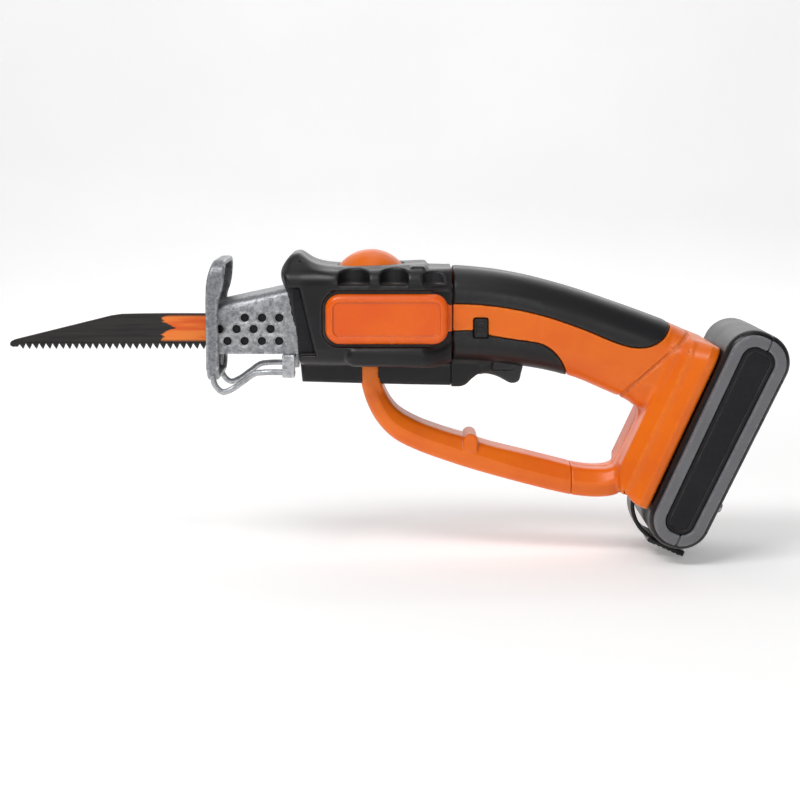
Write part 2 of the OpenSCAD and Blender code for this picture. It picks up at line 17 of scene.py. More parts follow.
import bmesh
import bpy
import numpy as np
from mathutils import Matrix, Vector

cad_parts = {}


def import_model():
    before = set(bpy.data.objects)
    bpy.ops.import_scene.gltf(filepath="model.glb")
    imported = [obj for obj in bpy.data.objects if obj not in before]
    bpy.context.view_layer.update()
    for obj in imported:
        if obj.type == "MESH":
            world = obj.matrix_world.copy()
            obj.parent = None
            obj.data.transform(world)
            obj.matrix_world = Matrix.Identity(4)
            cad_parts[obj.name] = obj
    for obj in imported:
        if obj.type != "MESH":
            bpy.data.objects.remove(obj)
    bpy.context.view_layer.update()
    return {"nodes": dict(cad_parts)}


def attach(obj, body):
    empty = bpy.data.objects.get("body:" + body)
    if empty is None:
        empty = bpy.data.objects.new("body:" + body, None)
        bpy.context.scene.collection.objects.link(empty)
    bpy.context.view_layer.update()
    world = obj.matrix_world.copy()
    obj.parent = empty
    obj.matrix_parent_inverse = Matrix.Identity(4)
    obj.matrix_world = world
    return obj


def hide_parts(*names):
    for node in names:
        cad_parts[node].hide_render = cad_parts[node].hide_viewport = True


MM = 0.001
TILT = math.radians(24.0)
COS, SIN = math.cos(TILT), math.sin(TILT)
NEAR, FAR = -1, 1  # the -Y and the +Y side
GUARD_SEAM = 175.0  # x where the guard's front part meets its rear stub
GRIP_FRONT = 117.1  # x where the grips end behind the nose
MOTOR_Z = 6.5  # height of the motor's axis
LOCK_X = 130.4  # middle of the lock button
PIN_X, PIN_Z, PIN_BORE = 131.5, -15.5, 1.6  # the trigger's pin, and the bore's radius
FAR_OUTSIDE = 99.0  # added to a distance where a form doesn't reach

Array = np.ndarray
Form = Callable[[Array, Array, Array], Array]
Point = Sequence[float]

log = logging.getLogger("pruning_saw")


# ---------- forms: signed distances, negative inside ----------
def round_inter(a: Array, b: Array, r: float) -> Array:
    """Where both forms are, with the edge between them rounded to r."""
    return np.minimum(np.maximum(a, b), -r) + np.hypot(np.maximum(a + r, 0), np.maximum(b + r, 0))


def round_union(a: Array, b: Array, r: float) -> Array:
    """Where either form is, with the corner between them filled to r."""
    return -round_inter(-a, -b, r)


def slab(v: Array, lo: float, hi: float) -> Array:
    """Between two parallel planes."""
    return np.maximum(lo - v, v - hi)


def rounded_rect(u: Array, v: Array, half_u: float, half_v: float, r: float) -> Array:
    """A rectangle centred on zero with corners of radius r."""
    qu, qv = np.abs(u) - half_u + r, np.abs(v) - half_v + r
    return np.hypot(np.maximum(qu, 0), np.maximum(qv, 0)) + np.minimum(np.maximum(qu, qv), 0) - r


def disc(u: Array, v: Array, u0: float, v0: float, r: float) -> Array:
    """A round bar seen along its axis."""
    return np.hypot(u - u0, v - v0) - r


def ease(v: Array, lo: float, hi: float) -> Array:
    """0 below lo, 1 above hi, smooth between."""
    t = np.clip((v - lo) / (hi - lo), 0, 1)
    return t * t * (3 - 2 * t)


def sink(form: Array, region: Array, depth: float) -> Array:
    """The form with its surface lowered by depth inside a region."""
    return np.maximum(form, np.minimum(-region, form + depth))


def both(form: Array, *others: Array) -> Array:
    """Where all the forms are, with sharp edges."""
    return reduce(np.maximum, others, form)


def cut(form: Array, hole: Array) -> Array:
    """The form less a hole."""
    return np.maximum(form, -hole)


def tilt_w(x: Array, z: Array) -> Array:
    """Distance across the battery, away from the handle."""
    return x * COS - z * SIN


def tilt_u(x: Array, z: Array) -> Array:
    """Distance up along the battery."""
    return x * SIN + z * COS


def untilt(w: float, u: float) -> tuple[float, float]:
    """The x and z of a place across and along the battery."""
    return w * COS + u * SIN, -w * SIN + u * COS


def smooth_line(points: Sequence[Point], closed: bool, spacing: float = 1.3) -> Array:
    """A smooth curve through points, as a dense polyline.

    Args:
        points: Plane points; a third value marks a sharp corner.
        closed: Whether the last point joins the first.
        spacing: Distance between the polyline's points.

    Returns:
        The polyline, one row per point.
    """
    p = np.array([q[:2] for q in points], float)
    sharp = [len(q) > 2 for q in points]
    n, rows = len(p), []
    for i in range(n if closed else n - 1):
        j = (i + 1) % n
        a, b = p[i], p[j]
        before = 2 * a - b if sharp[i] or (not closed and i == 0) else p[i - 1]
        after = 2 * b - a if sharp[j] or (not closed and j == n - 1) else p[(j + 1) % n]
        k0, k1, k2 = (max(math.sqrt(math.dist(*s)), 1e-3)
                      for s in ((before, a), (a, b), (b, after)))
        m0 = ((a - before) / k0 - (b - before) / (k0 + k1) + (b - a) / k1) * k1
        m1 = ((b - a) / k1 - (after - a) / (k1 + k2) + (after - b) / k2) * k1
        t = np.linspace(0, 1, max(2, int(math.dist(a, b) / spacing) + 1), endpoint=False)[:, None]
        rows.append((2 * t**3 - 3 * t**2 + 1) * a + (t**3 - 2 * t**2 + t) * m0
                    + (3 * t**2 - 2 * t**3) * b + (t**3 - t**2) * m1)
    if not closed:
        rows.append(p[-1:])
    return np.concatenate(rows)


class Outline:
    """Distance in one plane to a smooth curve, signed when it is closed, read off a fine grid."""

    def __init__(self, points: Sequence[Point], closed: bool = True, step: float = 0.5,
                 pad: float = 12.0) -> None:
        """Measures the distances.

        Args:
            points: Points that the curve passes through; a third value marks a sharp corner.
            closed: Whether the curve closes on itself and so has an inside.
            step: Spacing of the grid.
            pad: How far the grid reaches past the curve.
        """
        line = smooth_line(points, closed)
        self.lo, self.step = line.min(0) - pad, step
        count = np.ceil((line.max(0) + pad - self.lo) / step).astype(int) + 1
        u, v = (self.lo[k] + step * np.arange(count[k]) for k in (0, 1))
        gu, gv = (g.astype(np.float32) for g in np.meshgrid(u, v, indexing="ij"))
        near, inside = np.full(gu.shape, 1e9, np.float32), np.zeros(gu.shape, bool)
        for a, b in zip(line, np.roll(line, -1, 0) if closed else line[1:]):
            du, dv = b - a
            t = np.clip(((gu - a[0]) * du + (gv - a[1]) * dv) / (du * du + dv * dv), 0, 1)
            np.minimum(near, (gu - a[0] - t * du) ** 2 + (gv - a[1] - t * dv) ** 2, out=near)
            rows = np.nonzero((a[1] <= v) != (b[1] <= v))[0] if closed else ()
            for j in rows:
                inside[:, j] ^= u < a[0] + (v[j] - a[1]) * du / dv
        self.table = np.where(inside, -1, 1) * np.sqrt(near).astype(float)

    def __call__(self, u: Array, v: Array) -> Array:
        """The distance at each place of two arrays that broadcast together."""
        top_u, top_v = np.array(self.table.shape) - 1.001
        fu = np.clip((u - self.lo[0]) / self.step, 0, top_u)
        fv = np.clip((v - self.lo[1]) / self.step, 0, top_v)
        iu, iv = fu.astype(int), fv.astype(int)
        tu, tv, t = fu - iu, fv - iv, self.table
        return ((t[iu, iv] * (1 - tu) + t[iu + 1, iv] * tu) * (1 - tv)
                + (t[iu, iv + 1] * (1 - tu) + t[iu + 1, iv + 1] * tu) * tv)


# ---------- forms to meshes ----------
def net_surface(values: Array) -> tuple[Array, Array]:
    """The zero surface of a sampled form, as quads between the cells that it passes through.

    Args:
        values: Samples on a regular grid, positive all round the border.

    Returns:
        Points in grid units, and quads that face outwards.
    """
    inside = values < 0
    shape = tuple(s - 1 for s in values.shape)
    corners = [(i, j, k) for i in (0, 1) for j in (0, 1) for k in (0, 1)]
    total = np.zeros(shape, np.int8)
    for c in corners:
        total += inside[tuple(slice(o, o + s) for o, s in zip(c, shape))]
    cells = np.argwhere((total > 0) & (total < 8))
    number = np.full(shape, -1, np.int64)
    number[tuple(cells.T)] = np.arange(len(cells))
    at = {c: values[tuple((cells + c).T)] for c in corners}
    points, hits = np.zeros((len(cells), 3)), np.zeros(len(cells))
    for c in corners:
        for axis in range(3):
            if c[axis]:
                continue
            d = tuple(v + (k == axis) for k, v in enumerate(c))
            f0, f1 = at[c], at[d]
            cut = (f0 < 0) != (f1 < 0)
            place = np.tile(np.array(c, float), (len(cells), 1))
            place[:, axis] += np.where(cut, f0 / np.where(cut, f0 - f1, 1), 0)
            points += place * cut[:, None]
            hits += cut
    points = cells + points / hits[:, None]
    quads = []
    for axis in range(3):
        b, c = (axis + 1) % 3, (axis + 2) % 3
        first = np.take(inside, range(shape[axis]), axis)
        second = np.take(inside, range(1, shape[axis] + 1), axis)
        for outward, starts in ((True, first & ~second), (False, ~first & second)):
            p = np.argwhere(starts)
            ring = []
            for ob, oc in ((-1, -1), (0, -1), (0, 0), (-1, 0)):
                q = p.copy()
                q[:, b] += ob
                q[:, c] += oc
                ring.append(number[tuple(q.T)])
            quads.append(np.stack(ring if outward else ring[::-1], 1))
    return points, np.concatenate(quads)


def keep_large(points: Array, quads: Array, least: int = 400) -> tuple[Array, Array]:
    """Drops the loose scraps of a mesh that have fewer points than least."""
    label = np.arange(len(points))
    while True:
        low = label[quads].min(1)
        new = label.copy()
        for k in range(4):
            np.minimum.at(new, quads[:, k], low)
        new = new[new]
        if (new == label).all():
            break
        label = new
    keep = np.bincount(label, minlength=len(points))[label] >= least
    index = np.cumsum(keep) - 1
    return points[keep], index[quads[keep[quads[:, 0]]]]


def mesh_object(name: str, points: Array, faces: Array, normals: Array | None = None,
                masks: dict[str, Array] | None = None) -> bpy.types.Object:
    """Makes a mesh object from millimetre points and equal-sided faces.

    Args:
        name: The piece's name.
        points: One row of three per point, in millimetres.
        faces: One row of point numbers per face.
        normals: Shading normals, one row per point.
        masks: Values kept on the points for the finishes to read.

    Returns:
        The object, in the scene, at the origin.
    """
    mesh = bpy.data.meshes.new(name)
    sides = faces.shape[1]
    mesh.vertices.add(len(points))
    mesh.vertices.foreach_set("co", (points * MM).astype(np.float32).ravel())
    mesh.loops.add(faces.size)
    mesh.loops.foreach_set("vertex_index", faces.astype(np.int32).ravel())
    mesh.polygons.add(len(faces))
    mesh.polygons.foreach_set("loop_start", np.arange(0, faces.size, sides, dtype=np.int32))
    mesh.update(calc_edges=True)
    mesh.polygons.foreach_set("use_smooth", np.ones(len(faces), bool))
    for mask, values in (masks or {}).items():
        kept = mesh.attributes.new(mask, "FLOAT", "POINT")
        kept.data.foreach_set("value", values.astype(np.float32))
    if normals is not None:
        mesh.normals_split_custom_set_from_vertices(normals.tolist())
    piece = bpy.data.objects.new(name, mesh)
    bpy.context.scene.collection.objects.link(piece)
    return piece


def carve(name: str, form: Form, lo: Point, hi: Point, step: float = 0.8,
          mirror: bool = False) -> bpy.types.Object:
    """Turns a form into a mesh with its own shading normals and edge masks.

    Args:
        name: The piece's name.
        form: Signed distance of millimetre coordinates.
        lo: Lowest corner to search, in millimetres.
        hi: Highest corner to search.
        step: Size of the mesh's faces.
        mirror: Whether to flip the result to the other side of Y = 0.

    Returns:
        The object.
    """
    lo, hi = np.array(lo, float) - 2 * step, np.array(hi, float) + 2 * step
    x, y, z = (np.arange(lo[k], hi[k], step) + 0.013 * step for k in range(3))
    values = form(x[:, None, None], y[None, :, None], z[None, None, :])
    values = np.array(np.broadcast_to(values, (len(x), len(y), len(z))))
    for axis in range(3):
        for end in (0, -1):
            values[tuple(end if k == axis else slice(None) for k in range(3))] = step
    points, quads = keep_large(*net_surface(values))
    points = np.array([x[0], y[0], z[0]]) + points * step

    def probe(p: Array, reach: float) -> tuple[Array, Array, Array]:
        """The form, its slope and its bend at scattered points."""
        here, slope, bend = form(*p.T), np.zeros_like(p), np.zeros(len(p))
        for k in range(3):
            shift = np.zeros(3)
            shift[k] = reach
            more, less = form(*(p + shift).T), form(*(p - shift).T)
            slope[:, k] = (more - less) / (2 * reach)
            bend += (more + less - 2 * here) / reach**2
        return here, slope, bend

    for _ in range(2):
        here, slope, _ = probe(points, 0.3 * step)
        size = np.maximum((slope**2).sum(1), 0.25)
        move = -slope * (here / size)[:, None]
        points += np.clip(move, -0.35 * step, 0.35 * step)
    _, slope, _ = probe(points, 0.6 * step)
    normals = slope / np.maximum(np.linalg.norm(slope, axis=1), 1e-6)[:, None]
    _, _, bend = probe(points, 1.1)
    masks = {"edge": np.clip((bend - 0.22) / 0.7, 0, 1),
             "crevice": np.clip((-bend - 0.15) / 0.7, 0, 1)}
    if mirror:
        points, normals, quads = points * (1, -1, 1), normals * (1, -1, 1), quads[:, ::-1]
    return mesh_object(name, points, quads, normals, masks)


def half(form: Array, y: Array, side: int, gap: float = 0.06, r: float = 0.45) -> Array:
    """One side's part of a form that is parted at Y = 0, with the parting edge broken."""
    return round_inter(form, gap - side * y, r)


def tube(path: Sequence[Point], r: float, sides: int = 20,
         spacing: float = 0.7) -> tuple[Array, Array]:
    """A round wire along a smooth path in a plane of constant y.

    Args:
        path: Points (x, z) along the wire's middle.
        r: The wire's radius.
        sides: Faces around it.
        spacing: Distance between rings.

    Returns:
        Points (y measured from the wire's plane) and quads, with domed ends.
    """
    line = smooth_line(path, False, spacing)
    slope = np.gradient(line, axis=0)
    slope /= np.linalg.norm(slope, axis=1)[:, None]
    caps = [(-0.95, 0.25), (-0.7, 0.7), (-0.25, 0.96)]
    rings = [(line[0] + slope[0] * r * a, slope[0], r * b) for a, b in caps]
    rings += [(p, s, r) for p, s in zip(line, slope)]
    rings += [(line[-1] - slope[-1] * r * a, slope[-1], r * b) for a, b in reversed(caps)]
    angle = np.linspace(0, 2 * math.pi, sides, endpoint=False)
    points = [np.stack([p[0] - s[1] * size * np.cos(angle), size * np.sin(angle),
                        p[1] + s[0] * size * np.cos(angle)], 1) for p, s, size in rings]
    quads = []
    for i in range(len(rings) - 1):
        a = i * sides + np.arange(sides)
        b = i * sides + (np.arange(sides) + 1) % sides
        quads.append(np.stack([a, b, b + sides, a + sides], 1))
    ends = []
    for base, flip in ((0, True), ((len(rings) - 1) * sides, False)):
        for k in range(1, sides - 2, 2):
            q = [base, base + k, base + k + 1, base + k + 2]
            ends.append(q[::-1] if flip else q)
    return np.concatenate(points), np.concatenate(quads + [np.array(ends)])


def lathe(name: str, profile: Sequence[Point], centre: Point, sides: int = 96,
          spacing: float = 0.8) -> bpy.types.Object:
    """A closed turned piece about an upright axis.

    Args:
        name: The piece's name.
        profile: Closed profile (radius, height) through which the section passes.
        centre: The axis (x, y) and the height's zero, in millimetres.
        sides: Faces around it.
        spacing: Distance between the profile's points.

    Returns:
        The object.
    """
    ring = smooth_line(profile, True, spacing)
    angle = np.linspace(0, 2 * math.pi, sides, endpoint=False)
    points = np.stack([np.outer(ring[:, 0], np.cos(angle)), np.outer(ring[:, 0], np.sin(angle)),
                       np.repeat(ring[:, 1:], sides, 1)], -1).reshape(-1, 3) + np.array(centre)
    n = len(ring)
    i, j = np.meshgrid(np.arange(n), np.arange(sides), indexing="ij")
    quads = np.stack([i * sides + j, i * sides + (j + 1) % sides, (i + 1) % n * sides
                      + (j + 1) % sides, (i + 1) % n * sides + j], -1).reshape(-1, 4)
    piece = mesh_object(name, points, quads)
    clean(piece)
    return piece


def clean(piece: bpy.types.Object) -> None:
    """Merges doubled points and turns every face outwards."""
    work = bmesh.new()
    work.from_mesh(piece.data)
    bmesh.ops.remove_doubles(work, verts=work.verts, dist=1e-6)
    bmesh.ops.dissolve_degenerate(work, dist=1e-7, edges=work.edges)
    bmesh.ops.recalc_face_normals(work, faces=work.faces)
    work.to_mesh(piece.data)
    work.free()


def hand_over(work: bmesh.types.BMesh, name: str) -> bpy.types.Object:
    """Ends work on a mesh and returns it as an object in the scene."""
    mesh = bpy.data.meshes.new(name)
    work.to_mesh(mesh)
    work.free()
    piece = bpy.data.objects.new(name, mesh)
    bpy.context.scene.collection.objects.link(piece)
    return piece


# ---------- geometry nodes: what repeats ----------
def node_tree(name: str, sockets: Sequence[tuple[str, str]]) -> bpy.types.GeometryNodeTree:
    """A geometry node tree with a geometry input and output, and the named inputs given."""
    tree = bpy.data.node_groups.new(name, "GeometryNodeTree")
    tree.interface.new_socket("Geometry", in_out="INPUT", socket_type="NodeSocketGeometry")
    tree.interface.new_socket("Geometry", in_out="OUTPUT", socket_type="NodeSocketGeometry")
    for title, kind in sockets:
        tree.interface.new_socket(title, in_out="INPUT", socket_type=kind)
    return tree


def row_tree() -> bpy.types.GeometryNodeTree:
    """Repeats the object's own mesh along a straight row: Count copies, Step apart."""
    tree = node_tree("row_of_pieces", [("Count", "NodeSocketInt"), ("Step", "NodeSocketVector"),
                                       ("Finish", "NodeSocketMaterial")])
    add, link = tree.nodes.new, tree.links.new
    given, made = add("NodeGroupInput"), add("NodeGroupOutput")
    line, place = add("GeometryNodeMeshLine"), add("GeometryNodeInstanceOnPoints")
    real, dress = add("GeometryNodeRealizeInstances"), add("GeometryNodeSetMaterial")
    link(given.outputs["Count"], line.inputs["Count"])
    link(given.outputs["Step"], line.inputs["Offset"])
    link(line.outputs["Mesh"], place.inputs["Points"])
    link(given.outputs["Geometry"], place.inputs["Instance"])
    link(place.outputs["Instances"], real.inputs["Geometry"])
    link(real.outputs["Geometry"], dress.inputs["Geometry"])
    link(given.outputs["Finish"], dress.inputs["Material"])
    link(dress.outputs["Geometry"], made.inputs["Geometry"])
    return tree


def spots_tree() -> bpy.types.GeometryNodeTree:
    """Puts one part at each point of the object's mesh, turned by Turn and spun about its axis."""
    tree = node_tree("parts_on_spots", [("Part", "NodeSocketObject"), ("Turn", "NodeSocketVector"),
                                        ("Seed", "NodeSocketInt"),
                                        ("Finish", "NodeSocketMaterial")])
    add, link = tree.nodes.new, tree.links.new
    given, made = add("NodeGroupInput"), add("NodeGroupOutput")
    part, place = add("GeometryNodeObjectInfo"), add("GeometryNodeInstanceOnPoints")
    spin, chance = add("GeometryNodeRotateInstances"), add("FunctionNodeRandomValue")
    real, dress = add("GeometryNodeRealizeInstances"), add("GeometryNodeSetMaterial")
    chance.data_type = "FLOAT_VECTOR"
    chance.inputs[0].default_value = (0, 0, 0)
    chance.inputs[1].default_value = (0, 0, math.pi)
    link(given.outputs["Seed"], chance.inputs["Seed"])
    link(given.outputs["Geometry"], place.inputs["Points"])
    link(given.outputs["Part"], part.inputs["Object"])
    link(part.outputs["Geometry"], place.inputs["Instance"])
    link(given.outputs["Turn"], place.inputs["Rotation"])
    link(place.outputs["Instances"], spin.inputs["Instances"])
    link(chance.outputs[0], spin.inputs["Rotation"])
    link(spin.outputs["Instances"], real.inputs["Geometry"])
    link(real.outputs["Geometry"], dress.inputs["Geometry"])
    link(given.outputs["Finish"], dress.inputs["Material"])
    link(dress.outputs["Geometry"], made.inputs["Geometry"])
    return tree


def grow(piece: bpy.types.Object, tree: bpy.types.GeometryNodeTree,
         **values: object) -> bpy.types.Object:
    """Runs a node tree on a piece and keeps the result as its plain mesh.

    Args:
        piece: The object whose mesh the tree starts from.
        tree: The geometry node tree.
        values: The tree's inputs, by name.

    Returns:
        The same object.
    """
    modifier = piece.modifiers.new("grow", "NODES")
    modifier.node_group = tree
    names = {s.name: s.identifier for s in tree.interface.items_tree if s.in_out == "INPUT"}
    for name, value in values.items():
        modifier[names[name]] = value
    bpy.context.view_layer.update()
    seen = piece.evaluated_get(bpy.context.evaluated_depsgraph_get())
    mesh = bpy.data.meshes.new_from_object(seen)
    piece.modifiers.remove(modifier)
    piece.data = mesh
    return piece


# ---------- finishes ----------
class Graph:
    """A short way to lay out nodes in a material or a node group."""

    def __init__(self, tree: bpy.types.NodeTree) -> None:
        """Holds the tree."""
        self.tree = tree

    def add(self, kind: str, links: dict[str | int, object] | None = None,
            **options: object) -> bpy.types.Node:
        """Adds a node.

        Args:
            kind: The node's type.
            links: Input values, or output sockets to link to the inputs.
            options: The node's own properties.

        Returns:
            The node.
        """
        node = self.tree.nodes.new(kind)
        for name, value in options.items():
            setattr(node, name, value)
        self.feed(node, links or {})
        return node

    def feed(self, node: bpy.types.Node, links: dict[str | int, object]) -> None:
        """Sets a node's inputs, or links them where an output socket is given."""
        for key, value in links.items():
            if isinstance(value, bpy.types.NodeSocket):
                self.tree.links.new(value, node.inputs[key])
            else:
                node.inputs[key].default_value = value

    def bump(self, height: object, strength: float, distance: float) -> bpy.types.NodeSocket:
        """A normal tipped by a height."""
        return self.add("ShaderNodeBump", {"Strength": strength, "Distance": distance,
                                           "Height": height}).outputs[0]

    def math(self, operation: str, a: object, b: object = 0.0,
             clamp: bool = False) -> bpy.types.NodeSocket:
        """A sum, product or other operation of two values."""
        return self.add("ShaderNodeMath", {0: a, 1: b}, operation=operation,
                        use_clamp=clamp).outputs[0]

    def noise(self, place: object, scale: float | object, detail: float = 3.0,
              rough: float = 0.55) -> bpy.types.NodeSocket:
        """Fractal noise from 0 to 1."""
        return self.add("ShaderNodeTexNoise", {"Vector": place, "Scale": scale, "Detail": detail,
                                               "Roughness": rough}).outputs["Fac"]

    def span(self, value: object, lo: float, hi: float, out_lo: float = 0.0,
             out_hi: float = 1.0) -> bpy.types.NodeSocket:
        """Maps a value from one range smoothly onto another."""
        ends = {"From Min": lo, "From Max": hi, "To Min": out_lo, "To Max": out_hi}
        node = self.add("ShaderNodeMapRange", {"Value": value, **ends},
                        interpolation_type="SMOOTHSTEP")
        return node.outputs["Result"]

    def blend(self, amount: object, a: object, b: object, way: str = "MIX") -> bpy.types.NodeSocket:
        """Mixes two colours."""
        node = self.add("ShaderNodeMix", data_type="RGBA", blend_type=way)
        self.feed(node, {0: amount, 6: a, 7: b})
        return node.outputs[2]

    def place(self) -> bpy.types.NodeSocket:
        """Object coordinates."""
        return self.add("ShaderNodeTexCoord").outputs["Object"]

    def mask(self, name: str) -> bpy.types.NodeSocket:
        """A value kept on the mesh's points."""
        return self.add("ShaderNodeAttribute", attribute_name=name).outputs["Fac"]


class Effect(Enum):
    """The shader node groups that several finishes share."""

    GRAIN = "moulded_grain"
    WEAR = "edge_wear"
    SPANGLE = "zinc_spangle"
    LINES = "brushed_lines"


def effect_tree(effect: Effect, inputs: dict[str, float],
                outputs: Sequence[str]) -> tuple[Graph, bpy.types.Node, bpy.types.Node]:
    """A shader node group with named number inputs and outputs, and its end nodes."""
    tree = bpy.data.node_groups.new(effect.value, "ShaderNodeTree")
    for name, value in inputs.items():
        tree.interface.new_socket(name, in_out="INPUT",
                                  socket_type="NodeSocketFloat").default_value = value
    for name in outputs:
        tree.interface.new_socket(name, in_out="OUTPUT", socket_type="NodeSocketFloat")
    graph = Graph(tree)
    return graph, graph.add("NodeGroupInput"), graph.add("NodeGroupOutput")


def make_effects() -> None:
    """Builds every shared node group once."""
    g, given, made = effect_tree(Effect.GRAIN, {"Size": 2200.0, "Patch": 38.0}, ["Height", "Tone"])
    place = g.place()
    cells = g.add("ShaderNodeTexVoronoi", {"Vector": place, "Scale": given.outputs["Size"]},
                  feature="SMOOTH_F1")
    fine = g.noise(place, given.outputs["Size"], 2.0)
    g.tree.links.new(g.math("ADD", g.math("MULTIPLY", cells.outputs["Distance"], 0.6),
                            g.math("MULTIPLY", fine, 0.4)), made.inputs["Height"])
    g.tree.links.new(g.noise(place, given.outputs["Patch"], 4.0, 0.6), made.inputs["Tone"])

    g, given, made = effect_tree(Effect.WEAR, {"Size": 420.0, "Reach": 0.5}, ["Edge", "Dust"])
    place = g.place()
    patchy = g.span(g.noise(place, given.outputs["Size"], 5.0, 0.7), 0.35, 0.68)
    g.tree.links.new(g.math("MULTIPLY", g.math("MULTIPLY", g.mask("edge"), patchy),
                            given.outputs["Reach"], True), made.inputs["Edge"])
    broad = g.span(g.noise(place, 90.0, 4.0), 0.3, 0.7, 0.35, 1.0)
    g.tree.links.new(g.math("MULTIPLY", g.mask("crevice"), broad, True), made.inputs["Dust"])

    g, given, made = effect_tree(Effect.SPANGLE, {"Size": 420.0}, ["Tone", "Height"])
    place = g.place()
    cells = g.add("ShaderNodeTexVoronoi", {"Vector": place, "Scale": given.outputs["Size"]},
                  feature="F1")
    grey = g.add("ShaderNodeSeparateColor", {"Color": cells.outputs["Color"]}).outputs[0]
    speck = g.noise(place, g.math("MULTIPLY", given.outputs["Size"], 4.0), 3.0, 0.8)
    cloud = g.noise(place, 60.0, 3.0)
    fine = g.math("ADD", g.math("MULTIPLY", speck, 0.45), g.math("MULTIPLY", cloud, 0.2))
    tone = g.math("ADD", g.math("MULTIPLY", grey, 0.35), fine)
    g.tree.links.new(tone, made.inputs["Tone"])
    g.tree.links.new(speck, made.inputs["Height"])

    g, given, made = effect_tree(Effect.LINES, {"Along": 30.0, "Across": 2600.0},
                                 ["Height", "Tone"])
    axes = g.add("ShaderNodeSeparateXYZ", {"Vector": g.place()})
    long = g.math("MULTIPLY", axes.outputs["X"], given.outputs["Along"])
    wide = [g.math("MULTIPLY", axes.outputs[k], given.outputs["Across"]) for k in ("Y", "Z")]
    stretched = g.add("ShaderNodeCombineXYZ", {"X": long, "Y": wide[0], "Z": wide[1]}).outputs[0]
    g.tree.links.new(g.noise(stretched, 1.0, 3.0), made.inputs["Height"])
    g.tree.links.new(g.noise(stretched, 0.35, 2.0), made.inputs["Tone"])


def use(graph: Graph, effect: Effect, **values: float) -> bpy.types.Node:
    """Places a shared effect in a material, with its own values."""
    return graph.add("ShaderNodeGroup", values, node_tree=bpy.data.node_groups[effect.value])


def fresh(name: str) -> tuple[bpy.types.Material, Graph, bpy.types.Node]:
    """A material with an empty Principled shader, its graph and that shader."""
    material = bpy.data.materials.new(name)
    material.use_nodes = True
    shader = next(n for n in material.node_tree.nodes if n.type == "BSDF_PRINCIPLED")
    return material, Graph(material.node_tree), shader


def rgb(r: float, g: float, b: float) -> tuple[float, float, float, float]:
    """A colour given as screen values from 0 to 255, in the shader's linear units."""
    return tuple(c / 255 / 12.92 if c < 10.3 else ((c / 255 + 0.055) / 1.055) ** 2.4
                 for c in (r, g, b)) + (1.0,)


@dataclass(frozen=True)
class Moulding:
    """A moulded plastic or rubber finish: grain, patchy tone, rubbed edges and dusty corners."""

    name: str
    colour: tuple[float, float, float]
    deep: tuple[float, float, float]
    rubbed: tuple[float, float, float]
    dust: tuple[float, float, float] = (120, 112, 104)
    rough: float = 0.38
    spread: float = 0.1
    grain: float = 2200.0
    relief: float = 0.06
    reach: float = 0.5
    coat: float = 0.0
    sheen: float = 0.0
    shine: float = 0.5

    def build(self) -> bpy.types.Material:
        """Makes the material."""
        material, g, shader = fresh(self.name)
        grain = use(g, Effect.GRAIN, Size=self.grain)
        wear = use(g, Effect.WEAR, Reach=self.reach)
        base = g.blend(g.span(grain.outputs["Tone"], 0.3, 0.7), rgb(*self.colour), rgb(*self.deep))
        base = g.blend(g.math("MULTIPLY", wear.outputs["Dust"], 0.3), base, rgb(*self.dust))
        base = g.blend(wear.outputs["Edge"], base, rgb(*self.rubbed))
        rough = g.span(grain.outputs["Tone"], 0.25, 0.75, self.rough - self.spread / 2,
                       self.rough + self.spread / 2)
        rough = g.math("SUBTRACT", rough, g.math("MULTIPLY", wear.outputs["Edge"], 0.12))
        rough = g.math("ADD", rough, g.math("MULTIPLY", wear.outputs["Dust"], 0.15))
        g.feed(shader, {"Base Color": base, "Roughness": rough,
                        "Normal": g.bump(grain.outputs["Height"], self.relief, 0.0004),
                        "Specular IOR Level": self.shine, "Coat Weight": self.coat,
                        "Coat Roughness": 0.25, "Sheen Weight": self.sheen, "Sheen Roughness": 0.4})
        return material


@dataclass(frozen=True)
class Sheet:
    """Zinc-plated sheet or wire, speckled and slightly cloudy."""

    name: str
    light: tuple[float, float, float]
    dark: tuple[float, float, float]
    rough: float = 0.38
    size: float = 420.0
    relief: float = 0.12

    def build(self) -> bpy.types.Material:
        """Makes the material."""
        material, g, shader = fresh(self.name)
        spangle = use(g, Effect.SPANGLE, Size=self.size)
        wear = use(g, Effect.WEAR, Reach=0.7)
        base = g.blend(g.span(spangle.outputs["Tone"], 0.36, 0.64), rgb(*self.dark),
                       rgb(*self.light))
        base = g.blend(g.math("MULTIPLY", wear.outputs["Dust"], 0.35), base, rgb(70, 66, 62))
        base = g.blend(wear.outputs["Edge"], base, rgb(232, 233, 235))
        rough = g.span(spangle.outputs["Tone"], 0.3, 0.7, self.rough + 0.1, self.rough - 0.06)
        g.feed(shader, {"Base Color": base, "Roughness": rough, "Metallic": 0.55,
                        "Normal": g.bump(spangle.outputs["Height"], self.relief, 0.0003)})
        return material


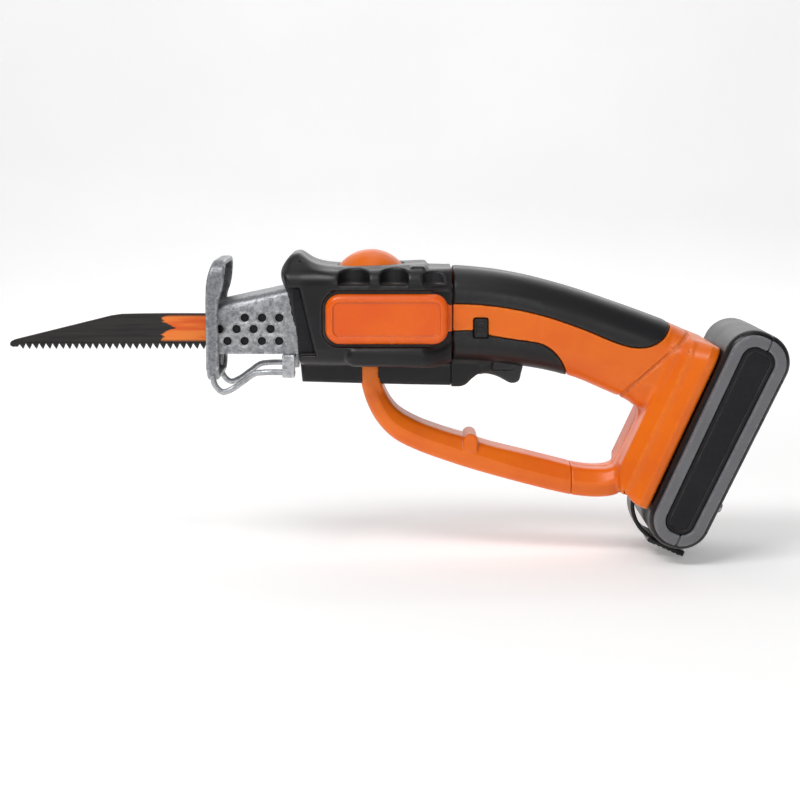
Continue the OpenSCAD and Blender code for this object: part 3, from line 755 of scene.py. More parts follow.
@dataclass(frozen=True)
class Machined:
    """Turned, ground or stamped metal with fine lines along X and a cloudy tone."""

    name: str
    light: tuple[float, float, float]
    dark: tuple[float, float, float]
    rough: float = 0.3
    along: float = 60.0

    def build(self) -> bpy.types.Material:
        """Makes the material."""
        material, g, shader = fresh(self.name)
        lines = use(g, Effect.LINES, Along=self.along)
        grain = use(g, Effect.GRAIN, Patch=70.0)
        tone = g.math("ADD", g.math("MULTIPLY", lines.outputs["Tone"], 0.6),
                      g.math("MULTIPLY", grain.outputs["Tone"], 0.4))
        base = g.blend(g.span(tone, 0.35, 0.65), rgb(*self.dark), rgb(*self.light))
        rough = g.span(tone, 0.3, 0.7, self.rough + 0.08, self.rough - 0.06)
        g.feed(shader, {"Base Color": base, "Roughness": rough, "Metallic": 1.0,
                        "Normal": g.bump(lines.outputs["Height"], 0.08, 0.0002)})
        return material


@dataclass(frozen=True)
class BladeCoat:
    """Black-coated blade steel with bare teeth and an orange band that breaks into streaks."""

    name: str = "blade_coat"
    teeth_z: float = -0.0066
    band_start: float = -0.0335
    band_full: float = -0.0065

    def build(self) -> bpy.types.Material:
        """Makes the material."""
        material, g, shader = fresh(self.name)
        axes = g.add("ShaderNodeSeparateXYZ", {"Vector": g.place()})
        lines = use(g, Effect.LINES, Along=90.0, Across=2200.0)
        long, high = (g.math("MULTIPLY", axes.outputs[k], v) for k,
                      v in (("X", 34.0), ("Z", 340.0)))
        streak = g.add("ShaderNodeCombineXYZ", {"X": long, "Y": 0.0, "Z": high}).outputs[0]
        ragged = g.noise(streak, 1.0, 2.0, 0.4)
        along = g.span(axes.outputs["X"], self.band_start, self.band_full, -0.32, 0.42)
        band = g.span(g.math("ADD", along, ragged), 0.5, 0.56)
        middle = g.math("MULTIPLY", g.span(axes.outputs["Z"], -0.0058, -0.0042),
                        g.span(axes.outputs["Z"], 0.0076, 0.0062))
        band = g.math("MULTIPLY", g.math("MULTIPLY", band, middle),
                      g.span(axes.outputs["X"], 0.003, 0.0))
        coat = g.blend(g.span(lines.outputs["Tone"], 0.35, 0.65), rgb(24, 22, 22), rgb(40, 36, 35))
        warm = g.blend(g.span(ragged, 0.4, 0.65), rgb(232, 92, 22), rgb(246, 132, 48))
        base = g.blend(band, coat, warm)
        bare = g.math("MULTIPLY", g.span(axes.outputs["Z"], self.teeth_z - 0.0012,
                                         self.teeth_z - 0.0022), 0.75)
        g.feed(shader, {"Base Color": g.blend(bare, base, rgb(105, 103, 102)),
                        "Metallic": g.math("ADD", g.math("MULTIPLY", bare, 0.6), 0.15),
                        "Roughness": g.span(lines.outputs["Tone"], 0.3, 0.7, 0.5, 0.38),
                        "Normal": g.bump(lines.outputs["Height"], 0.06, 0.0002)})
        return material


@dataclass(frozen=True)
class Floor:
    """Pale studio floor with a faint unevenness."""

    name: str = "studio_floor"

    def build(self) -> bpy.types.Material:
        """Makes the material."""
        material, g, shader = fresh(self.name)
        cloud = g.noise(g.place(), 3.0, 2.0)
        base = g.blend(g.span(cloud, 0.3, 0.7), rgb(246, 246, 246), rgb(250, 250, 250))
        g.feed(shader, {"Base Color": base, "Roughness": 0.85, "Specular IOR Level": 0.1,
                        "Emission Color": (1.0, 1.0, 1.0, 1.0), "Emission Strength": 0.22})
        return material


class Finish(Enum):
    """Every finish on the saw, by the name that pieces ask for."""

    ORANGE = Moulding("orange_moulding", (243, 116, 6), (234, 103, 3), (247, 150, 56), rough=0.36,
                      coat=0.08, shine=0.4, grain=1500.0, relief=0.05, reach=0.35)
    PANEL = Moulding("orange_panel", (240, 102, 5), (232, 90, 3), (250, 156, 74), rough=0.3,
                     coat=0.1, shine=0.4, grain=1800.0, relief=0.03, reach=0.12)
    BLACK = Moulding("black_moulding", (29, 29, 31), (23, 23, 25), (70, 70, 74), rough=0.34,
                     grain=1700.0, relief=0.08, reach=0.4, shine=0.32)
    RUBBER = Moulding("soft_grip", (30, 30, 32), (25, 25, 27), (66, 66, 70), rough=0.38,
                      grain=1300.0, relief=0.14, reach=0.3, sheen=0.05, shine=0.38)
    GREY = Moulding("grey_moulding", (108, 108, 112), (100, 100, 104), (150, 150, 154), rough=0.45,
                    grain=1700.0, relief=0.08, reach=0.35)
    # Also used on the nose's recess plates and the channel's sleeve, where the dark is painted
    # shade.
    DARK = Moulding("dark_panel", (26, 25, 31), (20, 20, 25), (52, 52, 58), rough=0.5, grain=900.0,
                    relief=0.25, reach=0.2, shine=0.25)
    TRIGGER = Moulding("trigger_moulding", (56, 56, 59), (48, 48, 51), (92, 92, 96), rough=0.42,
                       relief=0.08, reach=0.5, shine=0.35)
    INNER = Moulding("inner_moulding", (36, 36, 38), (30, 30, 32), (60, 60, 62), rough=0.5,
                     reach=0.0, shine=0.3)
    CARRIER = Moulding("cell_carrier", (92, 92, 96), (82, 82, 86), (120, 120, 122), rough=0.5,
                       reach=0.0)
    MASK = Moulding("board_mask", (26, 92, 52), (20, 78, 44), (60, 120, 80), rough=0.3, grain=900.0,
                    relief=0.1, reach=0.0)
    WRAP = Moulding("cell_wrap", (52, 98, 150), (44, 88, 138), (90, 130, 170), rough=0.28,
                    relief=0.02, reach=0.0)
    ZINC = Sheet("zinc_sheet", (142, 144, 148), (118, 120, 124), rough=0.42, size=1100.0)
    WIRE = Sheet("zinc_wire", (190, 192, 195), (150, 152, 156), rough=0.3, size=700.0, relief=0.06)
    CASTING = Sheet("case_alloy", (168, 169, 172), (132, 133, 137), rough=0.45, size=900.0,
                    relief=0.3)
    STEEL = Machined("ground_steel", (176, 177, 180), (140, 141, 145))
    BRONZE = Machined("bearing_bronze", (196, 152, 84), (164, 122, 62), rough=0.32)
    COPPER = Machined("bar_copper", (200, 118, 76), (168, 92, 58), rough=0.28)
    BLADE = BladeCoat()
    FLOOR = Floor()


class Paint:
    """Builds each finish the first time that a piece asks for it."""

    def __init__(self) -> None:
        """Starts with nothing built."""
        self.made: dict[Finish, bpy.types.Material] = {}

    def __getitem__(self, finish: Finish) -> bpy.types.Material:
        """The material of a finish."""
        if finish not in self.made:
            self.made[finish] = finish.value.build()
        return self.made[finish]


@dataclass
class Shop:
    """What every sub-assembly needs: the frame, the finishes and the shared node trees."""

    nodes: dict[str, bpy.types.Object]
    paint: Paint = field(default_factory=Paint)
    row: bpy.types.GeometryNodeTree = field(default_factory=row_tree)
    spots: bpy.types.GeometryNodeTree = field(default_factory=spots_tree)

    def fit(self, piece: bpy.types.Object, body: str, finish: Finish, slot: str,
            *stands_for: str) -> None:
        """Dresses a finished piece and hangs it on its body.

        Args:
            piece: The finished object, at the origin.
            body: The body that it moves with.
            finish: What it looks like.
            slot: The record's material slot; not used.
            stands_for: The frame's nodes that it replaces.
        """
        piece.data.materials.clear()
        piece.data.materials.append(self.paint[finish])
        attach(piece, body)
        if stands_for:
            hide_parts(*stands_for)
        log.info("%-22s %7d faces, on %s", piece.name, len(piece.data.polygons), body)

    def dress(self, finish: Finish, slot: str, *names: str) -> None:
        """Gives frame nodes that stay as they are their finish."""
        for name in names:
            node = self.nodes[name]
            if not node.material_slots:
                node.data.materials.append(self.paint[finish])
            for place in node.material_slots:
                place.material = self.paint[finish]
            log.info("%-22s kept from the frame", name)


# ---------- forms that several sub-assemblies share ----------
@dataclass
class Outer:
    """The saw's outer forms: nose, grip, receiver and guard."""

    nose_end: float = 116.5
    nose_half: float = 30.3
    keel_half: float = 11.9
    grip_half: float = 21.5
    guard_half: float = 13.5
    receiver_half: float = 31.0

    def __post_init__(self) -> None:
        """Measures the outlines."""
        self.nose_side = Outline([(37.0, 27.5), (37.5, 32.0), (38.9, 36.0), (41.2, 38.2),
                                  (43.8, 38.9), (45.8, 37.4), (49.9, 33.9), (54.5, 31.9),
                                  (61.2, 30.9), (80, 31.3), (96.6, 31.9), (103.6, 32.2, 1),
                                  (104.5, 29.9, 1), (114, 29.8), (126, 30.6, 1), (126, -25.9, 1),
                                  (82, -25.0), (44.9, -24.0, 1), (44.3, -18), (43.7, -11),
                                  (42.6, 1.7), (40.0, 18.2)])
        self.window = Outline([(34, 22.3, 1), (44.8, 22.6, 1), (52.2, -9.6, 1), (34, -9.8, 1)])
        self.belly = Outline([(71, -9.8), (92, -9.9), (111, -9.9), (118.5, -6.2)], closed=False)
        self.grip_side = Outline([(100, 31.4), (117, 30.9), (128, 30.1), (139.8, 28.7), (152, 26.4),
                                  (164.8, 23.2), (177.5, 19.5), (190, 15.3), (206.7, 9.4),
                                  (222, 3.6), (238, -3.5, 1), (222, -38, 1), (206.5, -36.4),
                                  (200.9, -32.8), (189.9, -27.9), (176, -22), (163.1, -18.4),
                                  (150.6, -16.2), (138, -14.6), (117, -13.6), (100, -13.4)])
        self.receiver_side = Outline([(206.2, 23, 1), (212.6, 9.6), (215.6, 8.6, 1),
                                      (225.6, 8.6, 1), (225.6, 93.8, 1), (203, 93.8, 1), (206, 74),
                                      (206.4, 50)])
        self.guard_side = Outline([(73.1, -14.5, 1), (73.5, -25.5), (76.0, -34.4), (80.6, -43.2),
                                   (88.1, -51.2), (98.5, -57.0), (115.9, -63.5), (133.2, -68.9),
                                   (150.6, -73.6), (167.9, -78.0), (178, -80.0), (189.6, -80.7),
                                   (197.0, -79.6), (203.5, -75.4), (209.5, -66), (216, -50),
                                   (214, -36, 1), (207.6, -37.5), (208.0, -43.5), (204.8, -52.0),
                                   (199.8, -61.6), (194.4, -66.0), (187.1, -66.8), (178.3, -65.9),
                                   (169.4, -63.7), (151.7, -59.2), (134, -54.8), (124.3, -51.4),
                                   (111.9, -47.6), (98.7, -42.4), (90.2, -36.9), (85.2, -29.7),
                                   (82.2, -20.9), (81.7, -14.5, 1)])
        self.guard_ridge = Outline([(77.2, -14), (78.2, -24), (80.9, -32), (86.5, -41.8),
                                    (93, -47.2), (107.1, -53.2), (133.1, -61.6), (159.1, -69.4),
                                    (176.4, -73.0), (190, -73.8), (199, -70), (206, -61),
                                    (212, -48)], closed=False)

    def nose_wide(self, x: Array) -> Array:
        """Half width of the nose: fuller in the middle, drawn in towards the grip."""
        return self.nose_half - 2.6 * (1 - ease(x, 44, 61)) - 7.9 * ease(x, 102, 117.5)

    def nose(self, x: Array, y: Array, z: Array) -> Array:
        """The nose covers' outer form, with the hood in front and the keel below."""
        a, side, wide = np.abs(y), self.nose_side(x, z), self.nose_wide(x)
        main = round_inter(round_inter(slab(z, -14.8, 32.4), a - wide, 9.0), side, 2.4)
        hood = round_inter(round_inter(slab(z, 4.0, 39.1), a - 20.5 + 0.35 * np.maximum(z - 29, 0),
                                       6.0), side, 2.0)
        keel = round_inter(round_inter(slab(z, -27.0, 0.0), a - self.keel_half, 2.0), side, 1.6)
        form = round_union(round_union(main, hood, 5.0), keel, 1.6)
        bulge = round_inter(round_inter(self.belly(x, z) - 5.0, a - wide - 1.3, 3.8), side, 2.0)
        return round_inter(round_union(form, bulge, 0.7), x - self.nose_end, 0.4)

    def grip(self, x: Array, y: Array, z: Array) -> Array:
        """The handle's full outer form."""
        below = (-10.5 - (x - 163) * 0.3 - z) * ease(x, 158, 168)
        tuck = (np.abs(y) - self.grip_half + 0.55 * below) / 1.14
        return round_inter(round_inter(self.grip_side(x, z), np.abs(y) - self.grip_half, 14.0),
                           tuck, 0.6)

    def receiver_wide(self, w: Array) -> Array:
        """Half width of the battery receiver, flaring in two steps."""
        return np.interp(w, [203, 208, 212.6, 215.2, 220.8, 228],
                         [20.0, 22.6, 26.7, 27.2, self.receiver_half, self.receiver_half])

    def receiver(self, x: Array, y: Array, z: Array) -> Array:
        """The battery receiver's outer form."""
        w, u = tilt_w(x, z), tilt_u(x, z)
        wide = self.receiver_wide(w)
        inset = np.maximum(0, self.receiver_half - wide) * 0.4
        face = rounded_rect(y + 0 * u, u - 51.2, wide, 42.6 - inset, np.where(u > 51.2, 9.0, 4.0))
        return round_inter(face, self.receiver_side(w, u), 1.6)

    def guard(self, x: Array, y: Array, z: Array) -> Array:
        """The guard bar: widest along its ridge."""
        past = np.maximum(self.guard_ridge(x, z) - 0.8, 0)
        wide = self.guard_half - 0.58 * past * (1 - ease(z, -31, -23))
        return round_inter(self.guard_side(x, z), np.abs(y) - wide, 2.2)


@dataclass
class Fixings:
    """The screws that join the two shells, all driven from the +Y side."""

    spots: tuple[tuple[float, float, float, float], ...] = (
        (62, -17.5, 11.5, 2), (108, -17.5, 11.5, 2), (44.5, 32.5, 22, 3),
        (182, -4, 21.2, 5), (202, -11, 21.2, 5), (190, -73.6, 13.5, 4))
    head_r: float = 2.85
    shank_r: float = 1.5

    def posts(self, x: Array, y: Array, z: Array, first: int, last: int) -> Array:
        """The solid bosses round the screws."""
        return np.minimum.reduce([disc(x, z, s[0], s[1], 4.3) + 0 * y
                                  for s in self.spots[first:last]])

    def bores(self, x: Array, y: Array, z: Array, first: int, last: int) -> Array:
        """The holes and head recesses of the screws."""
        found = []
        for sx, sz, wide, deep in self.spots[first:last]:
            found.append(np.maximum(disc(x, z, sx, sz, self.shank_r + 0.1), 3 - wide - y))
            found.append(np.maximum(disc(x, z, sx, sz, self.head_r + 0.3), wide - deep - y))
        return np.minimum.reduce(found)

    @staticmethod
    def head(name: str, r: float, high: float) -> bpy.types.Object:
        """A pan head with a six-lobed recess, its axis along Z and its seat at zero.

        Args:
            name: The object's name.
            r: Radius of the head.
            high: Its height.

        Returns:
            The object, which the spots tree copies.
        """
        work, sides = bmesh.new(), 36
        turns = [2 * math.pi * k / sides for k in range(sides)]
        lobes = [0.42 + 0.09 * math.cos(6 * t) for t in turns]
        levels = [([1.0] * sides, 0.0), ([1.0] * sides, high * 0.45), ([0.93] * sides, high * 0.78),
                  ([0.78] * sides, high), ([v * 1.05 for v in lobes], high), (lobes, high * 0.93),
                  (lobes, high * 0.4)]
        rings = [[work.verts.new((math.cos(t) * r * s * MM, math.sin(t) * r * s * MM, h * MM))
                  for t, s in zip(turns, sizes)] for sizes, h in levels]
        for low, top in zip(rings, rings[1:]):
            for k in range(sides):
                work.faces.new((low[k], low[(k + 1) % sides], top[(k + 1) % sides], top[k]))
        work.faces.new(rings[-1])
        work.faces.new(rings[0][::-1])
        bmesh.ops.recalc_face_normals(work, faces=work.faces)
        return hand_over(work, name)

    def place(self, shop: Shop, name: str, spots: Sequence[Point], turn: Point, r: float,
              high: float) -> bpy.types.Object:
        """Copies one head onto several spots with the spots tree.

        Args:
            shop: The node trees and finishes.
            name: The piece's name.
            spots: Seats of the heads, in millimetres.
            turn: Turn that sets the heads' axis, in radians.
            r: Radius of the heads.
            high: Height of the heads.

        Returns:
            The object, as a plain mesh.
        """
        head = self.head(name + "_head", r, high)
        mesh = bpy.data.meshes.new(name)
        mesh.from_pydata([tuple(c * MM for c in s) for s in spots], [], [])
        piece = bpy.data.objects.new(name, mesh)
        bpy.context.scene.collection.objects.link(piece)
        grow(piece, shop.spots, Part=head, Turn=turn, Seed=7, Finish=shop.paint[Finish.STEEL])
        bpy.data.objects.remove(head)
        return piece

    def build(self, shop: Shop) -> None:
        """Makes the shells' screw heads."""
        seats = [(x, wide - deep, z) for x, z, wide, deep in self.spots]
        piece = self.place(shop, "shell_screws", seats, (-math.pi / 2, 0, 0), self.head_r, 1.9)
        shop.fit(piece, "body", Finish.STEEL, "steel", "housing_screws")


# ---------- sub-assemblies ----------
@dataclass
class Nose:
    """The black nose covers, the orange side panels and the round release button."""

    outer: Outer
    fixings: Fixings
    wall: float = 2.4
    panel_x: float = 85.7
    panel_z: float = 7.9
    panel_long: float = 57.8
    panel_high: float = 23.6
    panel_out: float = 32.4
    dome_x: float = 78.0
    dome_r: float = 15.9
    scoops: tuple[tuple[float, float], ...] = ((70.2, 7.3), (89.2, 6.6), (109.0, 6.4))

    def panel_shape(self, x: Array, z: Array, grow_by: float) -> Array:
        """The side panel's outline, larger by grow_by."""
        return rounded_rect(x - self.panel_x, z - self.panel_z, self.panel_long / 2 + grow_by,
                            self.panel_high / 2 + grow_by, 7.0 + grow_by)

    def cover(self, side: int) -> Form:
        """One nose cover's form."""
        def form(x: Array, y: Array, z: Array) -> Array:
            """Signed distance."""
            a = np.abs(y)
            body = self.outer.nose(x, y, z)
            block = rounded_rect(x - 100.4, z - 26.0, 3.4, 6.5, 1.2)
            body = round_union(body, round_inter(block, a - 24.5, 1.5), 1.0)
            body = round_inter(body, -np.maximum(self.outer.window(x, z), 21.7 - a), 1.2)
            for sx, r in self.scoops:
                scoop = round_inter(disc(x, a, sx, 28.8, r), 23.6 - z, 1.2)
                body = round_inter(body, -scoop, 0.9)
            body = round_inter(body, -np.maximum(self.panel_shape(x, z, 1.5), 28.4 - a), 0.8)
            body = sink(body, np.abs(z - 20.9) - 0.45
                        + FAR_OUTSIDE * (ease(x, 59, 54) + (x < 56) + (x > 115)), 0.5)
            shell = cut(body, body + self.wall)
            posts = np.maximum(self.fixings.posts(x, y, z, 0, 3), body + 0.6)
            shell = np.minimum(shell, posts)
            shell = cut(shell, np.maximum(disc(y, z, 0, MOTOR_Z, 16.2), 108 - x))
            shell = round_inter(shell, -np.maximum(disc(x, y, self.dome_x, 0, self.dome_r + 0.35),
                                                   20 - z), 0.6)
            opening = np.maximum(rounded_rect(y, z - 6.2, 20.3, 18.6, 3.0), x - 60)
            shell = cut(shell, opening)
            shell = cut(shell, self.fixings.bores(x, y, z, 0, 3))
            return half(shell, y, side)
        return form

    def shade_plate(self, x: Array, y: Array, z: Array) -> Array:
        """A dark, dull plate in the recess beside the hood: painted shade where the recess lies in
        shadow.
        """
        region = np.maximum(self.outer.window(x, z) + 0.7, self.outer.nose_side(x, z) + 0.5)
        return round_inter(region, slab(-y, 20.9, 22.1), 0.3)

    def side_panel(self, x: Array, y: Array, z: Array) -> Array:
        """One orange side panel: a raised pad with a rolled rim and a slightly sunk middle."""
        a = -y
        edge = self.panel_shape(x, z, 0.0)
        base = np.minimum(28.5, self.outer.nose_wide(x) - 0.9)
        pad = round_inter(edge, a - self.panel_out, 3.0)
        pad = sink(pad, round_inter(self.panel_shape(x, z, -3.6), 30.0 - a, 0.5), 0.55)
        tongue = round_inter(slab(x, 108, 116.6), np.maximum(slab(z, 1.5, 14.4), a
                                                             - self.outer.nose_wide(x) - 0.55), 0.3)
        return np.maximum(np.minimum(pad, tongue), base - a)

    def build(self, shop: Shop) -> None:
        """Makes and hangs the pieces."""
        for side, word in ((NEAR, "left"), (FAR, "right")):
            lo, hi = (34, -33, -27.5), (118, 1, 40.5)
            if side == FAR:
                lo, hi = (34, -1, -27.5), (118, 33, 40.5)
            cover = carve(f"{word}_nose", self.cover(side), lo, hi, 0.75)
            shop.fit(cover, "body", Finish.BLACK, "black_shell", f"{word}_nose_cover")
            panel = carve(f"{word}_panel", self.side_panel, (56, -33, -5), (118, -20.5, 21), 0.6,
                          mirror=side == FAR)
            shop.fit(panel, "body", Finish.PANEL, "orange_shell", f"{word}_side_panel")
            # A dark plate in the nose's recess: painted shade.
            shade_plate = carve(f"{word}_nose_inlay", self.shade_plate, (42, -23, -12), (55, -20, 24), 0.4,
                          mirror=side == FAR)
            shop.fit(shade_plate, "body", Finish.DARK, "black_shell")
        r, rise = self.dome_r, 8.3
        ball = (r * r + rise * rise) / (2 * rise)
        arc = [(ball * math.sin(t), 31.0 + rise - ball + ball * math.cos(t))
               for t in np.linspace(0, math.asin((r - 0.5) / ball), 9)]
        inner = [(max(p[0] - 2.0, 0) if k else 0, p[1] - 2.2) for k, p in enumerate(arc)]
        rim = [(r, 30.4), (r, 28.6), (r + 1.5, 28.4, 1), (r + 1.5, 27.0, 1), (r - 2.4, 27.0, 1)]
        outside, inside = [(0.0, arc[0][1], 1)] + arc[1:], inner[:0:-1] + [(0.0, inner[0][1], 1)]
        dome = lathe("release_dome", outside + rim + inside, (self.dome_x, 0, 0))
        shop.fit(dome, "release_button", Finish.ORANGE, "orange_shell", "release_button")


@dataclass
class Handle:
    """The orange housings, the soft top grip and the black lower grip."""

    outer: Outer
    fixings: Fixings
    seam_x: float = GUARD_SEAM
    skin: float = 1.8
    wall: float = 4.2
    floor_w: float = 213.0
    lip_w: float = 222.5
    pocket_half: float = 25.2
    neck_half: float = 19.3

    def __post_init__(self) -> None:
        """Measures the grips' edges and the crease."""
        self.top_edge = Outline([(GRIP_FRONT, 14.6, 1), (128, 14.2), (139, 13.1), (151, 11.0),
                                 (163.5, 7.8), (180, 2), (192, -3.0), (199.5, -5.6), (206.4, -6.6),
                                 (212, -5.6), (217.2, -2.6), (221.0, 2.6), (223.4, 9, 1),
                                 (220, 40, 1), (GRIP_FRONT, 50, 1)])
        self.low_edge = Outline([(GRIP_FRONT, 1.3, 1), (126, 1.6), (135, -0.8), (147, -2.8),
                                 (155.5, -4.0), (160.2, -5.2), (164.2, -7.8), (168.8, -13.0),
                                 (173.2, -23, 1), (150, -45, 1), (GRIP_FRONT, -40, 1)])
        self.crease = Outline([(229.5, -1.0), (199.3, -28.6), (194, -36)], closed=False)
        self.heel = Outline([(108, -25.7, 1), (122.6, -25.9), (126.6, -22.6), (130, -20.2),
                             (136.5, -19.2, 1), (136.5, -11, 1), (108, -11, 1)])

    def slot(self, x: Array, y: Array, z: Array) -> Array:
        """The trigger's opening."""
        return np.maximum(rounded_rect(x - 139.7, z + 17.5, 12.9, 9.5, 1.0), np.abs(y) - 8.85)

    def lock_hole(self, x: Array, y: Array, z: Array) -> Array:
        """The lock button's opening, on the -Y side."""
        window = np.maximum(rounded_rect(x - LOCK_X, z - 3.0, 3.6, 4.8, 0.8), y + 18.4)
        return np.minimum(window, np.maximum(rounded_rect(x - LOCK_X, z - 2.9, 5.0, 6.7, 0.5),
                                             slab(y, -19.05, -15.4)))

    def housing(self, side: int) -> Form:
        """One orange housing's form."""
        def form(x: Array, y: Array, z: Array) -> Array:
            """Signed distance."""
            a, w, u = np.abs(y), tilt_w(x, z), tilt_u(x, z)
            grip = self.outer.grip(x, y, z)
            core = np.maximum(grip + self.wall, w - 209)
            grip = sink(grip, self.top_edge(x, z) - 0.3, self.skin + 0.1)
            grip = sink(grip, self.low_edge(x, z) - 0.3, self.skin + 0.1)
            grip = np.maximum(grip, 117.0 - x)
            guard = np.maximum(self.outer.guard(x, y, z), self.seam_x + 0.08 - x)
            receiver = self.outer.receiver(x, y, z)
            body = round_union(round_union(grip, receiver, 3.0), guard, 2.5)
            body = round_inter(body, w - 225.6, 0.5)
            body = sink(body, np.maximum(self.crease(x, z) - 0.8, w - 221), 0.7)
            shell = cut(body, core)
            posts = np.maximum(self.fixings.posts(x, y, z, 3, 5), grip + 1.0)
            shell = np.minimum(shell, posts)
            pocket = np.minimum(np.maximum(slab(w, self.floor_w, self.lip_w), a - self.pocket_half),
                                np.maximum(slab(w, self.lip_w - 0.1, 240), a - self.neck_half))
            pocket = np.maximum(pocket, slab(u, 8.0, 86.0))
            pocket = np.minimum(pocket, both(slab(w, 209, 213.1), slab(u, 78.6, 86.0), a - 14))
            stop = both(slab(w, 211, 215.2), slab(u, 9.0, 11.0), a - 8.6)
            shell = cut(shell, cut(pocket, stop))
            shell = cut(shell, self.slot(x, y, z))
            shell = cut(shell, self.lock_hole(x, y, z))
            shell = cut(shell, np.maximum(disc(y, z, 0, MOTOR_Z, 16.1), x - 147.3))
            shell = cut(shell, self.fixings.bores(x, y, z, 3, 6))
            return half(shell, y, side)
        return form

    def top_skin(self, x: Array, y: Array, z: Array) -> Array:
        """The soft top grip on the -Y side."""
        grip = self.outer.grip(x, y, z)
        edge = np.maximum(self.top_edge(x, z), GRIP_FRONT - x)
        form = cut(round_inter(grip - 0.35, edge, 1.3), grip + self.skin - 0.1)
        return half(form, y, NEAR, 0.04, 0.3)

    def low_skin(self, side: int) -> Form:
        """The black lower grip's form on one side."""
        def form(x: Array, y: Array, z: Array) -> Array:
            """Signed distance."""
            a = np.abs(y)
            grip = self.outer.grip(x, y, z)
            edge = np.maximum(self.low_edge(x, z), GRIP_FRONT - x)
            skin = cut(round_inter(grip - 0.3, edge, 1.1), grip + self.skin - 0.1)
            heel = round_inter(round_inter(self.heel(x, z), a - self.outer.keel_half, 2.0),
                               116.62 - x, 0.3)
            heel = cut(heel, grip + self.skin - 0.1)
            form = round_union(skin, heel, 1.8)
            form = cut(form, self.slot(x, y, z))
            form = cut(form, np.maximum(disc(x, z, PIN_X, PIN_Z, PIN_BORE), a - 10.7))
            form = cut(form, self.lock_hole(x, y, z))
            return half(form, y, side, 0.04, 0.3)
        return form

    def build(self, shop: Shop) -> None:
        """Makes and hangs the pieces."""
        for side, word in ((NEAR, "left"), (FAR, "right")):
            y0, y1 = (-33, 1) if side == NEAR else (-1, 33)
            shell = carve(f"{word}_shell", self.housing(side), (116, y0, -106), (251, y1, 33), 0.9)
            shop.fit(shell, "body", Finish.ORANGE, "orange_shell", f"{word}_housing")
            skin = carve(f"{word}_soft_grip", self.top_skin, (116, -23, -8), (225, 1, 33), 0.7,
                         mirror=side == FAR)
            shop.fit(skin, "body", Finish.RUBBER, "soft_grip", f"{word}_top_grip")
            low = carve(f"{word}_under_grip", self.low_skin(side), (116, y0 * 0.7, -27.5),
                        (175, y1 * 0.7, 3), 0.65)
            shop.fit(low, "body", Finish.BLACK, "black_shell", f"{word}_lower_grip")


@dataclass
class Guard:
    """The loop hand guard in front of the fingers."""

    outer: Outer
    seam_x: float = GUARD_SEAM
    boss_x: float = 126.1

    def form(self, x: Array, y: Array, z: Array) -> Array:
        """Signed distance of the guard, saddled round the nose's keel."""
        a = np.abs(y)
        bar = self.outer.guard(x, y, z)
        boss = round_inter(np.hypot(x - self.boss_x, np.maximum(np.abs(z + 54.7) - 2.2, 0)) - 3.4,
                           a - 13.3, 1.2)
        bar = round_union(bar, boss, 0.7)
        bar = round_inter(bar, x - self.seam_x + 0.08, 0.5)
        bar = np.maximum(bar, z + 15.2)
        return np.maximum(bar, 0.12 - self.outer.nose(x, y, z))

    def build(self, shop: Shop) -> None:
        """Makes and hangs the guard."""
        guard = carve("loop_guard", self.form, (72, -15, -82), (176, 15, -13), 0.75)
        shop.fit(guard, "body", Finish.ORANGE, "orange_shell", "hand_guard")


